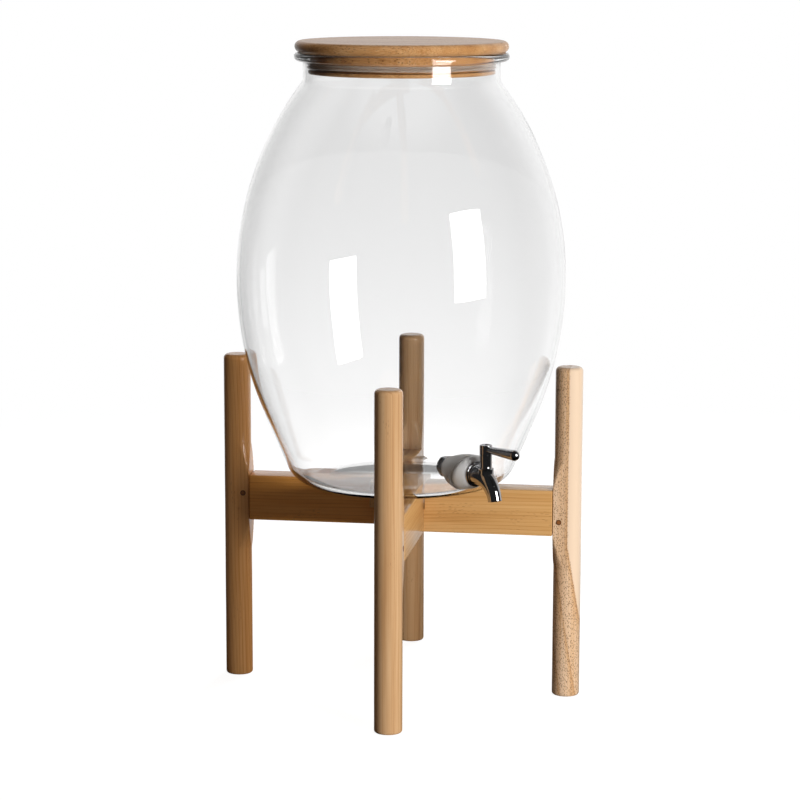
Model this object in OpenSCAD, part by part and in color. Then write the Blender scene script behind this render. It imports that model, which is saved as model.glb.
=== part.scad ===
// Glass drink dispenser: an egg-shaped jar with a turned lid and a lever tap, standing in a
// four-post wooden stand. Millimetres, +Z up, origin on the floor under the jar's axis.

/* [Stand] */
// Diameter of each round post
post_d = 25; // [20:0.5:30]
// Height of each post
post_h = 304; // [260:1:340]
// How far each post's axis stands outside the jar's widest ring, measured along its arm
post_out = 6; // [3:0.5:21]
// Rounding of the post's top edge
post_top_r = 4; // [1:0.5:6]
// Rounding of the post's foot
post_foot_r = 2; // [0.5:0.5:4]
// Thickness of each arm
arm_w = 25; // [20:0.5:30]
// Height of each arm
arm_h = 42; // [34:1:56]
// Height of the arms' underside above the floor
arm_z = 150; // [110:1:180]
// Gap at the sides of the cross laps
lap_gap = 0.4; // [0.1:0.1:0.8]
// How far the squared side of a post stands out past the round, towards its arm
pad_proud = 0.2; // [0.1:0.1:0.6]
// How far the squared post's two other flats lie inside the round
pad_inset = 0.3; // [0.1:0.1:0.8]
// Height over which the squared part runs out into the round, above and below the arm
pad_run = 30; // [15:1:40]
// Depth of the housing in the squared part that the arm's shoulder beds in
seat_depth = 0.5; // [0.3:0.1:2]
// Gap above and below an arm in its housing
seat_gap = 0.2; // [0.1:0.1:0.5]
// Thickness of the tenon on each arm
tenon_w = 12; // [8:0.5:15]
// Height of the tenon
tenon_h = 30; // [24:0.5:32]
// Length of the tenon
tenon_l = 15; // [12:0.5:17]
// Gap all round the tenon in its mortise
tenon_gap = 0.1; // [0.05:0.05:0.3]
// Gap at the blind end of the mortise
mortise_end_gap = 0.5; // [0.2:0.1:1]
// Diameter of the wooden pin across each tenon
pin_d = 5; // [3:0.5:6]
// Distance of the pin from the post's axis, towards the middle
pin_inset = 7; // [4:0.25:9]
// Distance of the pin below the arm's top
pin_drop = 29; // [14:0.5:30]
// Distance of the left post's pin below the arm's top, drilled higher than the others
left_pin_drop = 17; // [14:0.5:30]
// How far each pin's end stops short of the post's flats
pin_recess = 0.2; // [0.1:0.1:1]
// Radial gap round a pin
pin_gap = 0.05; // [0.02:0.01:0.1]

/* [Lap screws] */
// Diameter of the screw's shank
lap_screw_d = 4; // [3:0.5:5]
// Length of the screw, head and all
lap_screw_l = 34; // [28:1:36]
// Diameter of the countersunk head
lap_screw_head_d = 8; // [6.5:0.5:10]
// Height of the countersunk head
lap_screw_head_h = 2.4; // [1.6:0.2:3]
// Radial gap round the screw
lap_screw_gap = 0.05; // [0.02:0.01:0.1]
// Width of the cross recess in the head
lap_recess_w = 0.9; // [0.6:0.1:1.2]
// Length of the cross recess in the head
lap_recess_l = 4.4; // [3:0.2:5]
// Depth of the cross recess
lap_recess_h = 1.4; // [0.8:0.1:1.5]

/* [Jar] */
// Outer diameter at the widest ring
jar_d = 298; // [280:1:330]
// Height of the widest ring above the foot
belly_h = 188; // [180:1:196]
// Outer radius of the arc below the widest ring
lower_r = 326; // [310:1:340]
// Outer radius of the arc above the widest ring
upper_r = 290; // [280:1:300]
// Slope of the straight wall between the lower arc and the heel, from the vertical
wall_slope = 23; // [20:0.5:25]
// Outer radius of the rounded heel
heel_r = 27; // [20:1:32]
// Glass thickness of the wall
glass_t = 3.5; // [2.5:0.1:5]
// Glass thickness of the floor
floor_t = 6; // [5:0.25:9]
// Height of the hollow under the foot
kick_h = 2; // [1:0.25:3]
// Width of the flat ring that the jar stands on
foot_ring_w = 12; // [6:1:20]
// Outer diameter of the neck
neck_d = 177; // [170:0.2:186]
// Height of the straight neck between the shoulder and the lip
neck_h = 14.5; // [10:0.5:40]
// Outer radius of the curve from the shoulder into the neck
shoulder_r = 9; // [5:0.5:14]
// Outer diameter of the rolled lip
lip_d = 193; // [188:0.5:200]
// Height of the rolled lip
lip_h = 7.8; // [5:0.2:9]
// Rounding of the lip's inner edge
lip_inner_r = 1.6; // [0.8:0.1:2]
// Radial gap between the tap's shank and the hole in the glass
hole_gap = 1; // [0.5:0.1:2]

/* [Lid] */
// Diameter of the lid's disc
lid_d = 191.5; // [184:0.5:200]
// Thickness of the disc, whose edge is fully round
lid_t = 10; // [8:0.5:18]
// Height of the plug's upper step
plug_step_h = 8; // [3:0.5:10]
// Gap between the plug's upper step and the neck
plug_gap = 3; // [1:0.25:4]
// Height of the seal's groove
groove_h = 7.5; // [5:0.5:10]
// Depth of the seal's groove
groove_depth = 5; // [3:0.5:8]
// Height of the flange below the groove
plug_flange_h = 3.5; // [2:0.5:6]
// Gap between the lower flange and the neck
plug_flange_gap = 1.3; // [1:0.1:6]
// Rounding of the flange's edge
plug_flange_r = 1.6; // [0.5:0.1:1.9]
// Gap between the seal's two lips and the neck
seal_gap = 0.3; // [0.2:0.05:0.6]
// Gap above the seal in its groove
seal_top_gap = 0.2; // [0.1:0.05:0.4]
// Gap below the seal in its groove
seal_foot_gap = 1.8; // [0.2:0.1:2.5]
// Depth of the hollow between the seal's two lips
seal_hollow = 1.2; // [0.6:0.1:2]

/* [Tap place] */
// Direction of the tap, turned from the front towards the right
tap_azimuth = 42.5; // [36:0.5:50]
// Height of the tap's axis above the jar's foot
tap_h = 26.5; // [24:0.5:34]
// Least thickness of the outer gasket, behind the top of the tap's flange
outer_gasket_least = 4; // [3:0.25:6]
// Length of the inner gasket along the tap's axis
inner_gasket_l = 27; // [22:0.5:30]

/* [Tap body] */
// Diameter of the threaded shank
shank_d = 12; // [11:0.25:14]
// How far the shank stands out past the lock nut
shank_end = 4; // [2:0.5:6]
// Diameter of the water way through the shank
water_d = 6; // [5:0.25:6.5]
// Diameter of the flange that presses on the outer gasket
flange_d = 23; // [21:0.5:26]
// Thickness of the flange
flange_t = 3; // [2:0.25:4]
// Rounding of the flange's edge
flange_r = 1; // [0.5:0.1:1.4]
// Diameter of the horn where it leaves the flange
horn_d = 19; // [17:0.5:20]
// Diameter of the spout's end
spout_d = 12.4; // [11:0.2:13]
// Length of the horn's straight start
horn_straight = 6; // [4:0.5:9]
// Radius of the horn's bend
horn_bend_r = 24; // [22:0.5:28]
// Angle that the horn bends down through
horn_bend = 80; // [60:1:88]
// Diameter of the water way through the spout
spout_bore_d = 7.5; // [6:0.25:8.5]
// Diameter of the upright neck that holds the valve
chimney_d = 11; // [10.5:0.25:13]
// Distance of the valve's axis in front of the flange's back
valve_reach = 15.5; // [14:0.5:18]
// Height of the neck's top above the tap's axis
chimney_h = 15.5; // [14:0.5:18]

/* [Valve] */
// Diameter of the turning plug
plug_d = 7.9; // [7.4:0.1:8.2]
// Radial running gap round the plug and its stem
run_gap = 0.05; // [0.02:0.01:0.1]
// Depth of the plug's end below the tap's axis
plug_depth = 5; // [4:0.25:6]
// Gap under the plug's end
plug_end_gap = 0.4; // [0.3:0.1:1]
// Diameter of the port across the plug
port_d = 5; // [4:0.25:5.5]
// Diameter of the plug's stem
stem_d = 6; // [5.5:0.1:6.4]
// Gap between the plug's shoulder and the bonnet nut
shoulder_gap = 0.3; // [0.2:0.1:0.6]
// Width across the stem's square end
square_w = 4; // [3.6:0.1:4.1]
// Height of the lower seal ring above the tap's axis
ring_z = 6; // [5.5:0.1:7]
// Distance between the two seal rings
ring_pitch = 3; // [2.6:0.1:4]
// Thickness of a seal ring's section
ring_t = 1.6; // [1.2:0.1:1.8]
// Gap between a seal ring and its groove and bore
ring_gap = 0.03; // [0.02:0.01:0.1]
// Height of the bonnet nut above the neck
bonnet_h = 3.6; // [3:0.2:5]
// Length of the bonnet nut's thread inside the neck
bonnet_skirt_h = 3; // [2:0.2:4]
// Thickness of the bonnet nut's thread wall
bonnet_skirt_t = 0.7; // [0.5:0.05:0.9]
// Radial gap round the bonnet nut's thread
thread_gap = 0.05; // [0.02:0.01:0.1]

/* [Lever] */
// Diameter of the lever's hub
hub_d = 11; // [10:0.25:13]
// Height of the lever's hub
hub_h = 9; // [8.6:0.2:12]
// Running gap between the hub and the bonnet nut
hub_gap = 0.3; // [0.2:0.05:0.6]
// Rounding of the hub's top edge
hub_edge = 0.6; // [0.3:0.1:1]
// Distance from the valve's axis to the middle of the lever's round end
lever_l = 42; // [36:0.5:48]
// Diameter of the lever where it leaves the hub
lever_root_d = 6; // [5:0.25:6.5]
// Diameter of the lever's round end
lever_end_d = 9.4; // [8:0.2:11]
// Upward slope of the lever
lever_rise = 2; // [0:0.5:4]
// Height of the lever's root above the hub's foot
lever_z = 5; // [4:0.1:5.5]
// Gap round the stem's square in the hub
square_gap = 0.05; // [0.02:0.01:0.1]
// Diameter of the lever screw's head
cap_screw_head_d = 7; // [5.6:0.2:7.6]
// Height of the lever screw's head
cap_screw_head_h = 1.8; // [1.4:0.1:2.2]
// Depth of the screw's head below the hub's top
cap_screw_sunk = 0.5; // [0.2:0.1:0.8]
// Diameter of the lever screw's shank
cap_screw_d = 2.4; // [2:0.1:2.6]
// Length of the lever screw's shank
cap_screw_l = 8; // [6:0.5:9]
// Radial gap round the lever screw
cap_screw_gap = 0.05; // [0.02:0.01:0.1]
// Width of the slot in the lever screw
slot_w = 1; // [0.6:0.1:1.4]
// Depth of the slot in the lever screw
slot_h = 0.8; // [0.4:0.1:1]

/* [Gaskets and nut] */
// Diameter of both gaskets where they lie on the glass
gasket_d = 35; // [30:0.5:37]
// Diameter of the inner gasket at its bulge, halfway to the nut
gasket_bulge_d = 31; // [27:0.5:33]
// Diameter of the inner gasket at the washer
gasket_nut_d = 20; // [18:0.5:23]
// Diameter of the outer gasket at the tap's flange
gasket_flange_d = 26; // [24:0.5:29]
// Radial gap between a gasket and the shank
gasket_bore_gap = 0.1; // [0.05:0.05:0.3]
// Gap between a gasket and the glass
gasket_gap = 0.05; // [0.02:0.01:0.2]
// Diameter of the nut's washer
washer_d = 19.6; // [18:0.2:23]
// Thickness of the nut's washer
washer_t = 1.2; // [0.8:0.1:2]
// Width across the flats of the lock nut
nut_w = 17; // [16:0.5:20]
// Thickness of the lock nut
nut_t = 7; // [5:0.5:9]
// Radial gap between the shank and the washer or nut
nut_gap = 0.05; // [0.02:0.01:0.1]

/* [Hidden] */
$fn = 96;

// A cut runs this far past the face that it opens
over = 1;
// A bent cut runs on through this angle past the face that it opens
over_angle = 5;
// Thickness of the discs that a gasket's form is drawn over
disc_t = 0.2;
// Sides of the horn's section, and steps along it
horn_sides = 32;
horn_steps = 20;

// Stand
post_reach = jar_d / 2 + post_out;
arm_top = arm_z + arm_h;
lap_z = arm_z + arm_h / 2;
pad_face = post_d / 2 + pad_proud;
pad_half = post_d / 2 - pad_inset;
shoulder_x = post_reach - pad_face + seat_depth;
tenon_z = arm_z + (arm_h - tenon_h) / 2;
pin_x = post_reach - pin_inset;
pin_l = 2 * (pad_half - pin_recess);
// The way that each arm points
front_angle = -90;
rear_angle = 90;
left_angle = 180;
right_angle = 0;
function pin_z(angle) = arm_top - (angle == left_angle ? left_pin_drop : pin_drop);

// Jar: centres of the arcs of its outside, with z from the foot
jar_r = jar_d / 2;
neck_r = neck_d / 2;
lip_r = lip_d / 2;
neck_in_r = neck_r - glass_t;
lower_c = [jar_r - lower_r, belly_h];
upper_c = [jar_r - upper_r, belly_h];
slope_top = lower_c + lower_r * [cos(wall_slope), -sin(wall_slope)];
heel_line = slope_top + heel_r * [-cos(wall_slope), sin(wall_slope)];
heel_c = [heel_line[0] - (heel_line[1] - heel_r) * tan(wall_slope), heel_r];
shoulder_x_c = neck_r + shoulder_r;
shoulder_z_c = belly_h + sqrt(pow(upper_r + shoulder_r, 2) - pow(shoulder_x_c - upper_c[0], 2));
shoulder_c = [shoulder_x_c, shoulder_z_c];
shoulder_a = atan2(shoulder_c[1] - upper_c[1], shoulder_c[0] - upper_c[0]);
jar_h = shoulder_c[1] + neck_h + lip_h;
bead_r = lip_h / 2;
kick_r = heel_c[0] - foot_ring_w;
kick_arc_r = (pow(kick_r, 2) + pow(kick_h, 2)) / (2 * kick_h);
kick_a = asin(kick_r / kick_arc_r);

// Lid
lid_z = arm_top + jar_h;
step_r = neck_in_r - plug_gap;
plug_flange_rad = neck_in_r - plug_flange_gap;
groove_r = plug_flange_rad - groove_depth;
groove_top = -plug_step_h;
groove_foot = groove_top - groove_h;
plug_foot = groove_foot - plug_flange_h;

// Tap, in its own frame: +X outwards from the jar's axis, z from the tap's axis
tap_z = arm_top + tap_h;
wall_out_x = wall_x(tap_h);
wall_in_x = wall_out_x - glass_t / cos(wall_slope);
flange_x = wall_x(tap_h + flange_d / 2) + outer_gasket_least;
valve_x = flange_x + valve_reach;
washer_x = wall_in_x - inner_gasket_l - washer_t;
nut_x = washer_x - nut_t;
shank_x = nut_x - shank_end;
bend_x = flange_x + horn_straight;
horn_len = horn_straight + horn_bend_r * horn_bend * PI / 180;
plug_r = plug_d / 2;
bore_r = plug_r + run_gap;
plug_shoulder = chimney_h - shoulder_gap;
hub_z = chimney_h + bonnet_h + hub_gap;
hub_top = hub_z + hub_h;
screw_seat = hub_top - cap_screw_sunk - cap_screw_head_h;
square_top = screw_seat - hub_gap;
skirt_r = bore_r + bonnet_skirt_t;

// Outer radius of the straight part of the jar's wall at height h above the foot
function wall_x(h) = slope_top[0] - (slope_top[1] - h) * tan(wall_slope);

// Points of an arc about c, from angle a0 to a1, in n steps, without its first point
function arc(c, r, a0, a1, n) =
    [for (i = [1:n]) let (a = a0 + (a1 - a0) * i / n) c + r * [cos(a), sin(a)]];

// Outside or inside of the jar from the heel to the neck: d is the shift outwards, a0 the heel's start
function side(d, a0) = concat(
    arc(heel_c, heel_r + d, a0, -wall_slope, 10),
    arc(lower_c, lower_r + d, -wall_slope, 0, 14),
    arc(upper_c, upper_r + d, 0, shoulder_a, 20),
    arc(shoulder_c, shoulder_r - d, shoulder_a + 180, 180, 6)
);

function reversed(list) = [for (i = [len(list) - 1:-1:0]) list[i]];

// Closed outline of everything inside the jar's outer face moved outwards by d, up to the neck
function filled(d) = concat(
    [[0, -d]], [[heel_c[0], -d]], side(d, -90),
    [[neck_r + d, jar_h], [0, jar_h]]
);

// The front and rear arms are the upper ones of the lap. Upper and lower arms lie on opposite sides
// of their axis lines, so that each pair runs side by side across the middle.
function arm_mid(upper) = upper ? arm_w / 2 : -arm_w / 2;

// Things that stand on an arm's own axes: +X along the arm, from the middle outwards
module along(angle) {
    rotate([0, 0, angle]) children();
}

// The squared inner half of a post at its arm, with shoulders turned down to the round
module post_pad() {
    corner = norm([pad_face, pad_half]) + over;
    low = arm_z - pad_run;
    high = arm_top + pad_run;
    intersection() {
        translate([-pad_face, -pad_half, low]) cube([pad_face, 2 * pad_half, high - low]);
        rotate_extrude() polygon([
            [0, low], [pad_half, low], [corner, arm_z], [corner, arm_top], [pad_half, high], [0, high]
        ]);
    }
}

module post(angle, upper) {
    r = post_d / 2;
    seat = -pad_face + seat_depth;
    outline = concat(
        [[0, 0], [r - post_foot_r, 0]],
        arc([r - post_foot_r, post_foot_r], post_foot_r, -90, 0, 5),
        [[r, post_h - post_top_r]],
        arc([r - post_top_r, post_h - post_top_r], post_top_r, 0, 90, 6),
        [[0, post_h]]
    );
    along(angle) translate([post_reach, arm_mid(upper), 0])
        difference() {
            union() {
                rotate_extrude() polygon(outline);
                post_pad();
            }
            translate([seat - post_d, -post_d, arm_z - seat_gap])
                cube([post_d, 2 * post_d, arm_h + 2 * seat_gap]);
            translate([seat - over, -tenon_w / 2 - tenon_gap, tenon_z - tenon_gap])
                cube([
                    over + tenon_l + mortise_end_gap, tenon_w + 2 * tenon_gap, tenon_h + 2 * tenon_gap
                ]);
            translate([-pin_inset, 0, pin_z(angle)])
                rotate([90, 0, 0]) cylinder(d = pin_d + 2 * pin_gap, h = post_d + 2 * over, center = true);
        }
}

// An arm with its shoulder and tenon outwards and its half lap at the middle
module arm(angle, upper) {
    mid_y = arm_mid(upper);
    near_y = mid_y - arm_w / 2;
    cut_z = upper ? arm_z - over : lap_z;
    along(angle)
        difference() {
            union() {
                translate([-arm_w, near_y, arm_z]) cube([shoulder_x + arm_w, arm_w, arm_h]);
                translate([shoulder_x - over, mid_y - tenon_w / 2, tenon_z])
                    cube([tenon_l + over, tenon_w, tenon_h]);
            }
            translate([-arm_w - over, near_y - over, cut_z])
                cube([2 * arm_w + over + lap_gap, arm_w + 2 * over, arm_h / 2 + over]);
            translate([pin_x, mid_y, pin_z(angle)])
                rotate([90, 0, 0]) cylinder(d = pin_d + 2 * pin_gap, h = arm_w, center = true);
            for (x = [-1, 1])
                translate([x * arm_w / 2, mid_y, arm_z]) lap_screw_hole();
        }
}

module lap_screw_hole() {
    d = lap_screw_d + 2 * lap_screw_gap;
    cylinder(d = d, h = lap_screw_l + over);
    translate([0, 0, -over])
        cylinder(d = lap_screw_head_d + 2 * lap_screw_gap, h = over);
    cylinder(d1 = lap_screw_head_d + 2 * lap_screw_gap, d2 = d, h = lap_screw_head_h);
}

module lap_screw() {
    point_h = lap_screw_d;
    difference() {
        union() {
            cylinder(d1 = lap_screw_head_d, d2 = lap_screw_d, h = lap_screw_head_h);
            cylinder(d = lap_screw_d, h = lap_screw_l - point_h);
            translate([0, 0, lap_screw_l - point_h])
                cylinder(d1 = lap_screw_d, d2 = lap_screw_d / 4, h = point_h);
        }
        for (turn = [0, 90])
            rotate([0, 0, turn])
                translate([-lap_recess_l / 2, -lap_recess_w / 2, -over])
                    cube([lap_recess_l, lap_recess_w, lap_recess_h + over]);
    }
}

module front_post() { color("burlywood") post(front_angle, true); }
module rear_post() { color("burlywood") post(rear_angle, true); }
module left_post() { color("burlywood") post(left_angle, false); }
module right_post() { color("burlywood") post(right_angle, false); }
module front_arm() { color("peru") arm(front_angle, true); }
module rear_arm() { color("peru") arm(rear_angle, true); }
module left_arm() { color("peru") arm(left_angle, false); }
module right_arm() { color("peru") arm(right_angle, false); }

module tenon_pin(angle, upper) {
    along(angle) translate([pin_x, arm_mid(upper), pin_z(angle)])
        rotate([90, 0, 0]) cylinder(d = pin_d, h = pin_l, center = true);
}

module tenon_pins() {
    color("sienna") {
        for (angle = [front_angle, rear_angle]) tenon_pin(angle, true);
        for (angle = [left_angle, right_angle]) tenon_pin(angle, false);
    }
}

module lap_screws() {
    color("silver")
        for (x = [-1, 1], y = [-1, 1])
            translate([x * arm_w / 2, y * arm_w / 2, arm_z]) lap_screw();
}

// The jar's glass: foot with its hollow, heel, wall, shoulder, neck and rolled lip
module glass_jar() {
    floor_a = -asin((heel_r - floor_t) / (heel_r - glass_t));
    floor_x = heel_c[0] + (heel_r - glass_t) * cos(floor_a);
    kick_c = [0, kick_h - kick_arc_r];
    lip_z = jar_h - lip_h;
    outline = concat(
        [[0, kick_h]],
        arc(kick_c, kick_arc_r, 90, 90 - kick_a, 6),
        [heel_c + [0, -heel_r]],
        side(0, -90),
        [[neck_r, lip_z], [lip_r - bead_r, lip_z]],
        arc([lip_r - bead_r, jar_h - bead_r], bead_r, -90, 90, 10),
        [[neck_in_r + lip_inner_r, jar_h]],
        arc([neck_in_r + lip_inner_r, jar_h - lip_inner_r], lip_inner_r, 90, 180, 4),
        reversed(side(-glass_t, floor_a)),
        [[floor_x, floor_t], [0, floor_t]]
    );
    color("lightcyan", 0.4)
        difference() {
            translate([0, 0, arm_top]) rotate_extrude() polygon(outline);
            at_tap() lying([wall_in_x - gasket_d, 0, 0])
                cylinder(d = shank_d + 2 * hole_gap, h = 2 * gasket_d);
        }
}

// The lid: a disc with a round edge, turned in one piece with its plug, seal groove and flange
module lid() {
    r = lid_t / 2;
    outline = concat(
        [[0, plug_foot], [plug_flange_rad - plug_flange_r, plug_foot]],
        arc([plug_flange_rad - plug_flange_r, plug_foot + plug_flange_r], plug_flange_r, -90, 0, 4),
        [
            [plug_flange_rad, groove_foot], [groove_r, groove_foot],
            [groove_r, groove_top], [step_r, groove_top],
            [step_r, 0], [lid_d / 2 - r, 0]
        ],
        arc([lid_d / 2 - r, r], r, -90, 90, 12),
        [[0, lid_t]]
    );
    color("tan") translate([0, 0, lid_z]) rotate_extrude() polygon(outline);
}

// The seal ring in the lid's groove, with two soft lips towards the neck
module lid_seal() {
    out_r = neck_in_r - seal_gap;
    z0 = groove_foot + seal_foot_gap;
    z1 = groove_top - seal_top_gap;
    step = (z1 - z0) / 3;
    color("whitesmoke", 0.7) translate([0, 0, lid_z]) rotate_extrude()
        polygon([
            [groove_r, z0], [out_r, z0], [out_r, z0 + step], [out_r - seal_hollow, z0 + 1.5 * step],
            [out_r, z0 + 2 * step], [out_r, z1], [groove_r, z1]
        ]);
}

module at_tap() {
    rotate([0, 0, tap_azimuth - 90]) translate([0, 0, tap_z]) children();
}

// Turns a piece that stands along Z so that it lies along the tap's axis, from the point p
module lying(p) {
    translate(p) rotate([0, 90, 0]) children();
}

// Angle that the horn's middle line has bent through at the distance s along it: it leaves the
// flange straight and then bends down
function horn_angle(s) = s <= horn_straight ? 0 : (s - horn_straight) / horn_bend_r * 180 / PI;

function horn_point(s) = s <= horn_straight
    ? [flange_x + s, 0, 0]
    : [bend_x + horn_bend_r * sin(horn_angle(s)), 0, -horn_bend_r * (1 - cos(horn_angle(s)))];

// Radius of the horn's section, easing from the flange's end to the spout's end
function horn_radius(s) =
    let (k = s / horn_len)
    horn_d / 2 + (spout_d - horn_d) / 2 * (3 * k * k - 2 * k * k * k);

function horn_ring(s) =
    let (a = horn_angle(s), c = horn_point(s), r = horn_radius(s))
    [for (i = [0:horn_sides - 1])
        let (t = 360 * i / horn_sides)
        c + r * [sin(t) * sin(a), cos(t), sin(t) * cos(a)]];

module horn() {
    rings = [for (i = [0:horn_steps]) each horn_ring(horn_len * i / horn_steps)];
    last = horn_steps * horn_sides;
    points = concat(rings, [horn_point(0), horn_point(horn_len)]);
    start_mid = len(rings);
    end_mid = len(rings) + 1;
    walls = [for (i = [0:horn_steps - 1], j = [0:horn_sides - 1])
        let (a = i * horn_sides + j, b = i * horn_sides + (j + 1) % horn_sides)
        each [[b, a, a + horn_sides], [b, a + horn_sides, b + horn_sides]]];
    caps = [for (j = [0:horn_sides - 1])
        let (k = (j + 1) % horn_sides)
        each [[start_mid, j, k], [end_mid, last + k, last + j]]];
    polyhedron(points = points, faces = concat(walls, caps), convexity = 4);
}

// The tap's one casting: shank, flange, horn and upright neck, bored for the water and the valve
module tap_body() {
    chamber_z = -plug_depth - plug_end_gap;
    valve_angle = asin((valve_x - bend_x) / horn_bend_r);
    flange_outline = concat(
        [[0, 0], [flange_d / 2, 0], [flange_d / 2, flange_t - flange_r]],
        arc([flange_d / 2 - flange_r, flange_t - flange_r], flange_r, 0, 90, 4),
        [[0, flange_t]]
    );
    color("gainsboro") at_tap()
        difference() {
            union() {
                lying([shank_x, 0, 0]) cylinder(d = shank_d, h = flange_x - shank_x + over);
                lying([flange_x, 0, 0]) rotate_extrude() polygon(flange_outline);
                horn();
                translate([valve_x, 0, 0]) cylinder(d = chimney_d, h = chimney_h);
            }
            lying([shank_x - over, 0, 0]) cylinder(d = water_d, h = valve_x - shank_x + over);
            translate([valve_x, 0, chamber_z]) cylinder(r = bore_r, h = chimney_h - chamber_z + over);
            translate([valve_x, 0, chimney_h - bonnet_skirt_h - shoulder_gap])
                cylinder(r = skirt_r + thread_gap, h = bonnet_skirt_h + shoulder_gap + over);
            translate([bend_x, 0, -horn_bend_r])
                rotate([90, 0, 0]) rotate([0, 0, 90 - horn_bend - over_angle])
                    rotate_extrude(angle = horn_bend + over_angle - valve_angle)
                        translate([horn_bend_r, 0]) circle(d = spout_bore_d);
        }
}

// Ring nut that closes the neck over the plug's shoulder
module bonnet_nut() {
    stem_r = stem_d / 2 + run_gap;
    skirt_z = chimney_h - bonnet_skirt_h;
    top = chimney_h + bonnet_h;
    color("gainsboro") at_tap() translate([valve_x, 0, 0]) rotate_extrude()
        polygon([
            [bore_r, skirt_z], [skirt_r, skirt_z], [skirt_r, chimney_h], [chimney_d / 2, chimney_h],
            [chimney_d / 2, top], [stem_r, top], [stem_r, chimney_h], [bore_r, chimney_h]
        ]);
}

// The quarter-turn plug: a port across it, two ring grooves, a stem and a square end
module valve_plug() {
    groove_x = plug_r - ring_t - ring_gap;
    half = ring_t / 2 + ring_gap;
    grooves = [for (z = [ring_z, ring_z + ring_pitch])
        each [[plug_r, z - half], [groove_x, z - half], [groove_x, z + half], [plug_r, z + half]]];
    color("silver") at_tap() translate([valve_x, 0, 0])
        difference() {
            union() {
                rotate_extrude() polygon(concat(
                    [[0, -plug_depth], [plug_r, -plug_depth]], grooves,
                    [[plug_r, plug_shoulder], [stem_d / 2, plug_shoulder], [stem_d / 2, hub_z], [0, hub_z]]
                ));
                translate([-square_w / 2, -square_w / 2, hub_z - over])
                    cube([square_w, square_w, square_top - hub_z + over]);
            }
            rotate([90, 0, 0]) cylinder(d = port_d, h = plug_d + 2 * over, center = true);
            translate([0, 0, screw_seat - cap_screw_l - over])
                cylinder(d = cap_screw_d + 2 * cap_screw_gap, h = cap_screw_l + 2 * over);
        }
}

module valve_rings() {
    mid_r = plug_r - ring_t / 2 + run_gap - ring_gap;
    color("dimgray") at_tap() translate([valve_x, 0, 0])
        for (z = [ring_z, ring_z + ring_pitch])
            translate([0, 0, z]) rotate_extrude() translate([mid_r, 0]) circle(d = ring_t, $fn = 32);
}

// The lever: a hub keyed on the plug's square, and a club-shaped handle with a round end
module tap_lever() {
    r = hub_d / 2;
    hole_w = square_w + 2 * square_gap;
    hub_outline = concat(
        [[0, hub_z], [r, hub_z], [r, hub_top - hub_edge]],
        arc([r - hub_edge, hub_top - hub_edge], hub_edge, 0, 90, 4),
        [[0, hub_top]]
    );
    color("gainsboro") at_tap() translate([valve_x, 0, 0])
        difference() {
            union() {
                rotate_extrude() polygon(hub_outline);
                translate([0, 0, hub_z + lever_z]) rotate([0, 90 - lever_rise, 0]) {
                    cylinder(d1 = lever_root_d, d2 = lever_end_d, h = lever_l);
                    translate([0, 0, lever_l]) sphere(d = lever_end_d);
                }
            }
            translate([-hole_w / 2, -hole_w / 2, hub_z - over]) cube([hole_w, hole_w, hub_h]);
            translate([0, 0, screw_seat])
                cylinder(d = cap_screw_head_d + 2 * cap_screw_gap, h = hub_h);
            translate([0, 0, hub_z])
                cylinder(d = cap_screw_d + 2 * cap_screw_gap, h = hub_h);
        }
}

module lever_screw() {
    color("dimgray") at_tap() translate([valve_x, 0, screw_seat])
        difference() {
            union() {
                cylinder(d = cap_screw_head_d, h = cap_screw_head_h);
                translate([0, 0, -cap_screw_l]) cylinder(d = cap_screw_d, h = cap_screw_l + over);
            }
            translate([-cap_screw_head_d, -slot_w / 2, cap_screw_head_h - slot_h])
                cube([2 * cap_screw_head_d, slot_w, slot_h + over]);
        }
}

// A thin disc on the tap's axis at x, leaning with the glass by the angle lean
module gasket_disc(x, d, lean) {
    translate([x, 0, 0]) rotate([0, 90 + lean, 0]) cylinder(d = d, h = disc_t, center = true, $fn = 48);
}

// Soft outer gasket: lies along the sloping glass and meets the tap's upright flange
module outer_gasket() {
    color("whitesmoke", 0.6)
        difference() {
            at_tap() hull() {
                gasket_disc(wall_out_x - glass_t / 2, gasket_d, wall_slope);
                gasket_disc(wall_out_x + glass_t / 2, gasket_d, wall_slope);
                gasket_disc(flange_x - disc_t / 2, gasket_flange_d, 0);
            }
            translate([0, 0, arm_top]) rotate_extrude() polygon(filled(gasket_gap));
            at_tap() lying([wall_in_x - gasket_d, 0, 0])
                cylinder(d = shank_d + 2 * gasket_bore_gap, h = 3 * gasket_d);
            at_tap() translate([flange_x, -gasket_d, -gasket_d]) cube(2 * gasket_d);
        }
}

// Soft inner gasket: a dome from the sloping glass to the lock nut's washer
module inner_gasket() {
    foot_x = washer_x + washer_t;
    inner_shift = -glass_t - gasket_gap;
    color("whitesmoke", 0.6)
        difference() {
            intersection() {
                at_tap() hull() {
                    gasket_disc(wall_in_x + glass_t / 2, gasket_d, wall_slope);
                    gasket_disc(wall_in_x - glass_t / 2, gasket_d, wall_slope);
                    gasket_disc((wall_in_x + foot_x) / 2, gasket_bulge_d, wall_slope / 2);
                    gasket_disc(foot_x + disc_t / 2, gasket_nut_d, 0);
                }
                translate([0, 0, arm_top]) rotate_extrude() polygon(filled(inner_shift));
            }
            at_tap() lying([shank_x, 0, 0])
                cylinder(d = shank_d + 2 * gasket_bore_gap, h = 3 * gasket_d);
        }
}

module nut_washer() {
    color("silver") at_tap() lying([washer_x, 0, 0])
        difference() {
            cylinder(d = washer_d, h = washer_t);
            translate([0, 0, -over]) cylinder(d = shank_d + 2 * nut_gap, h = washer_t + 2 * over);
        }
}

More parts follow.
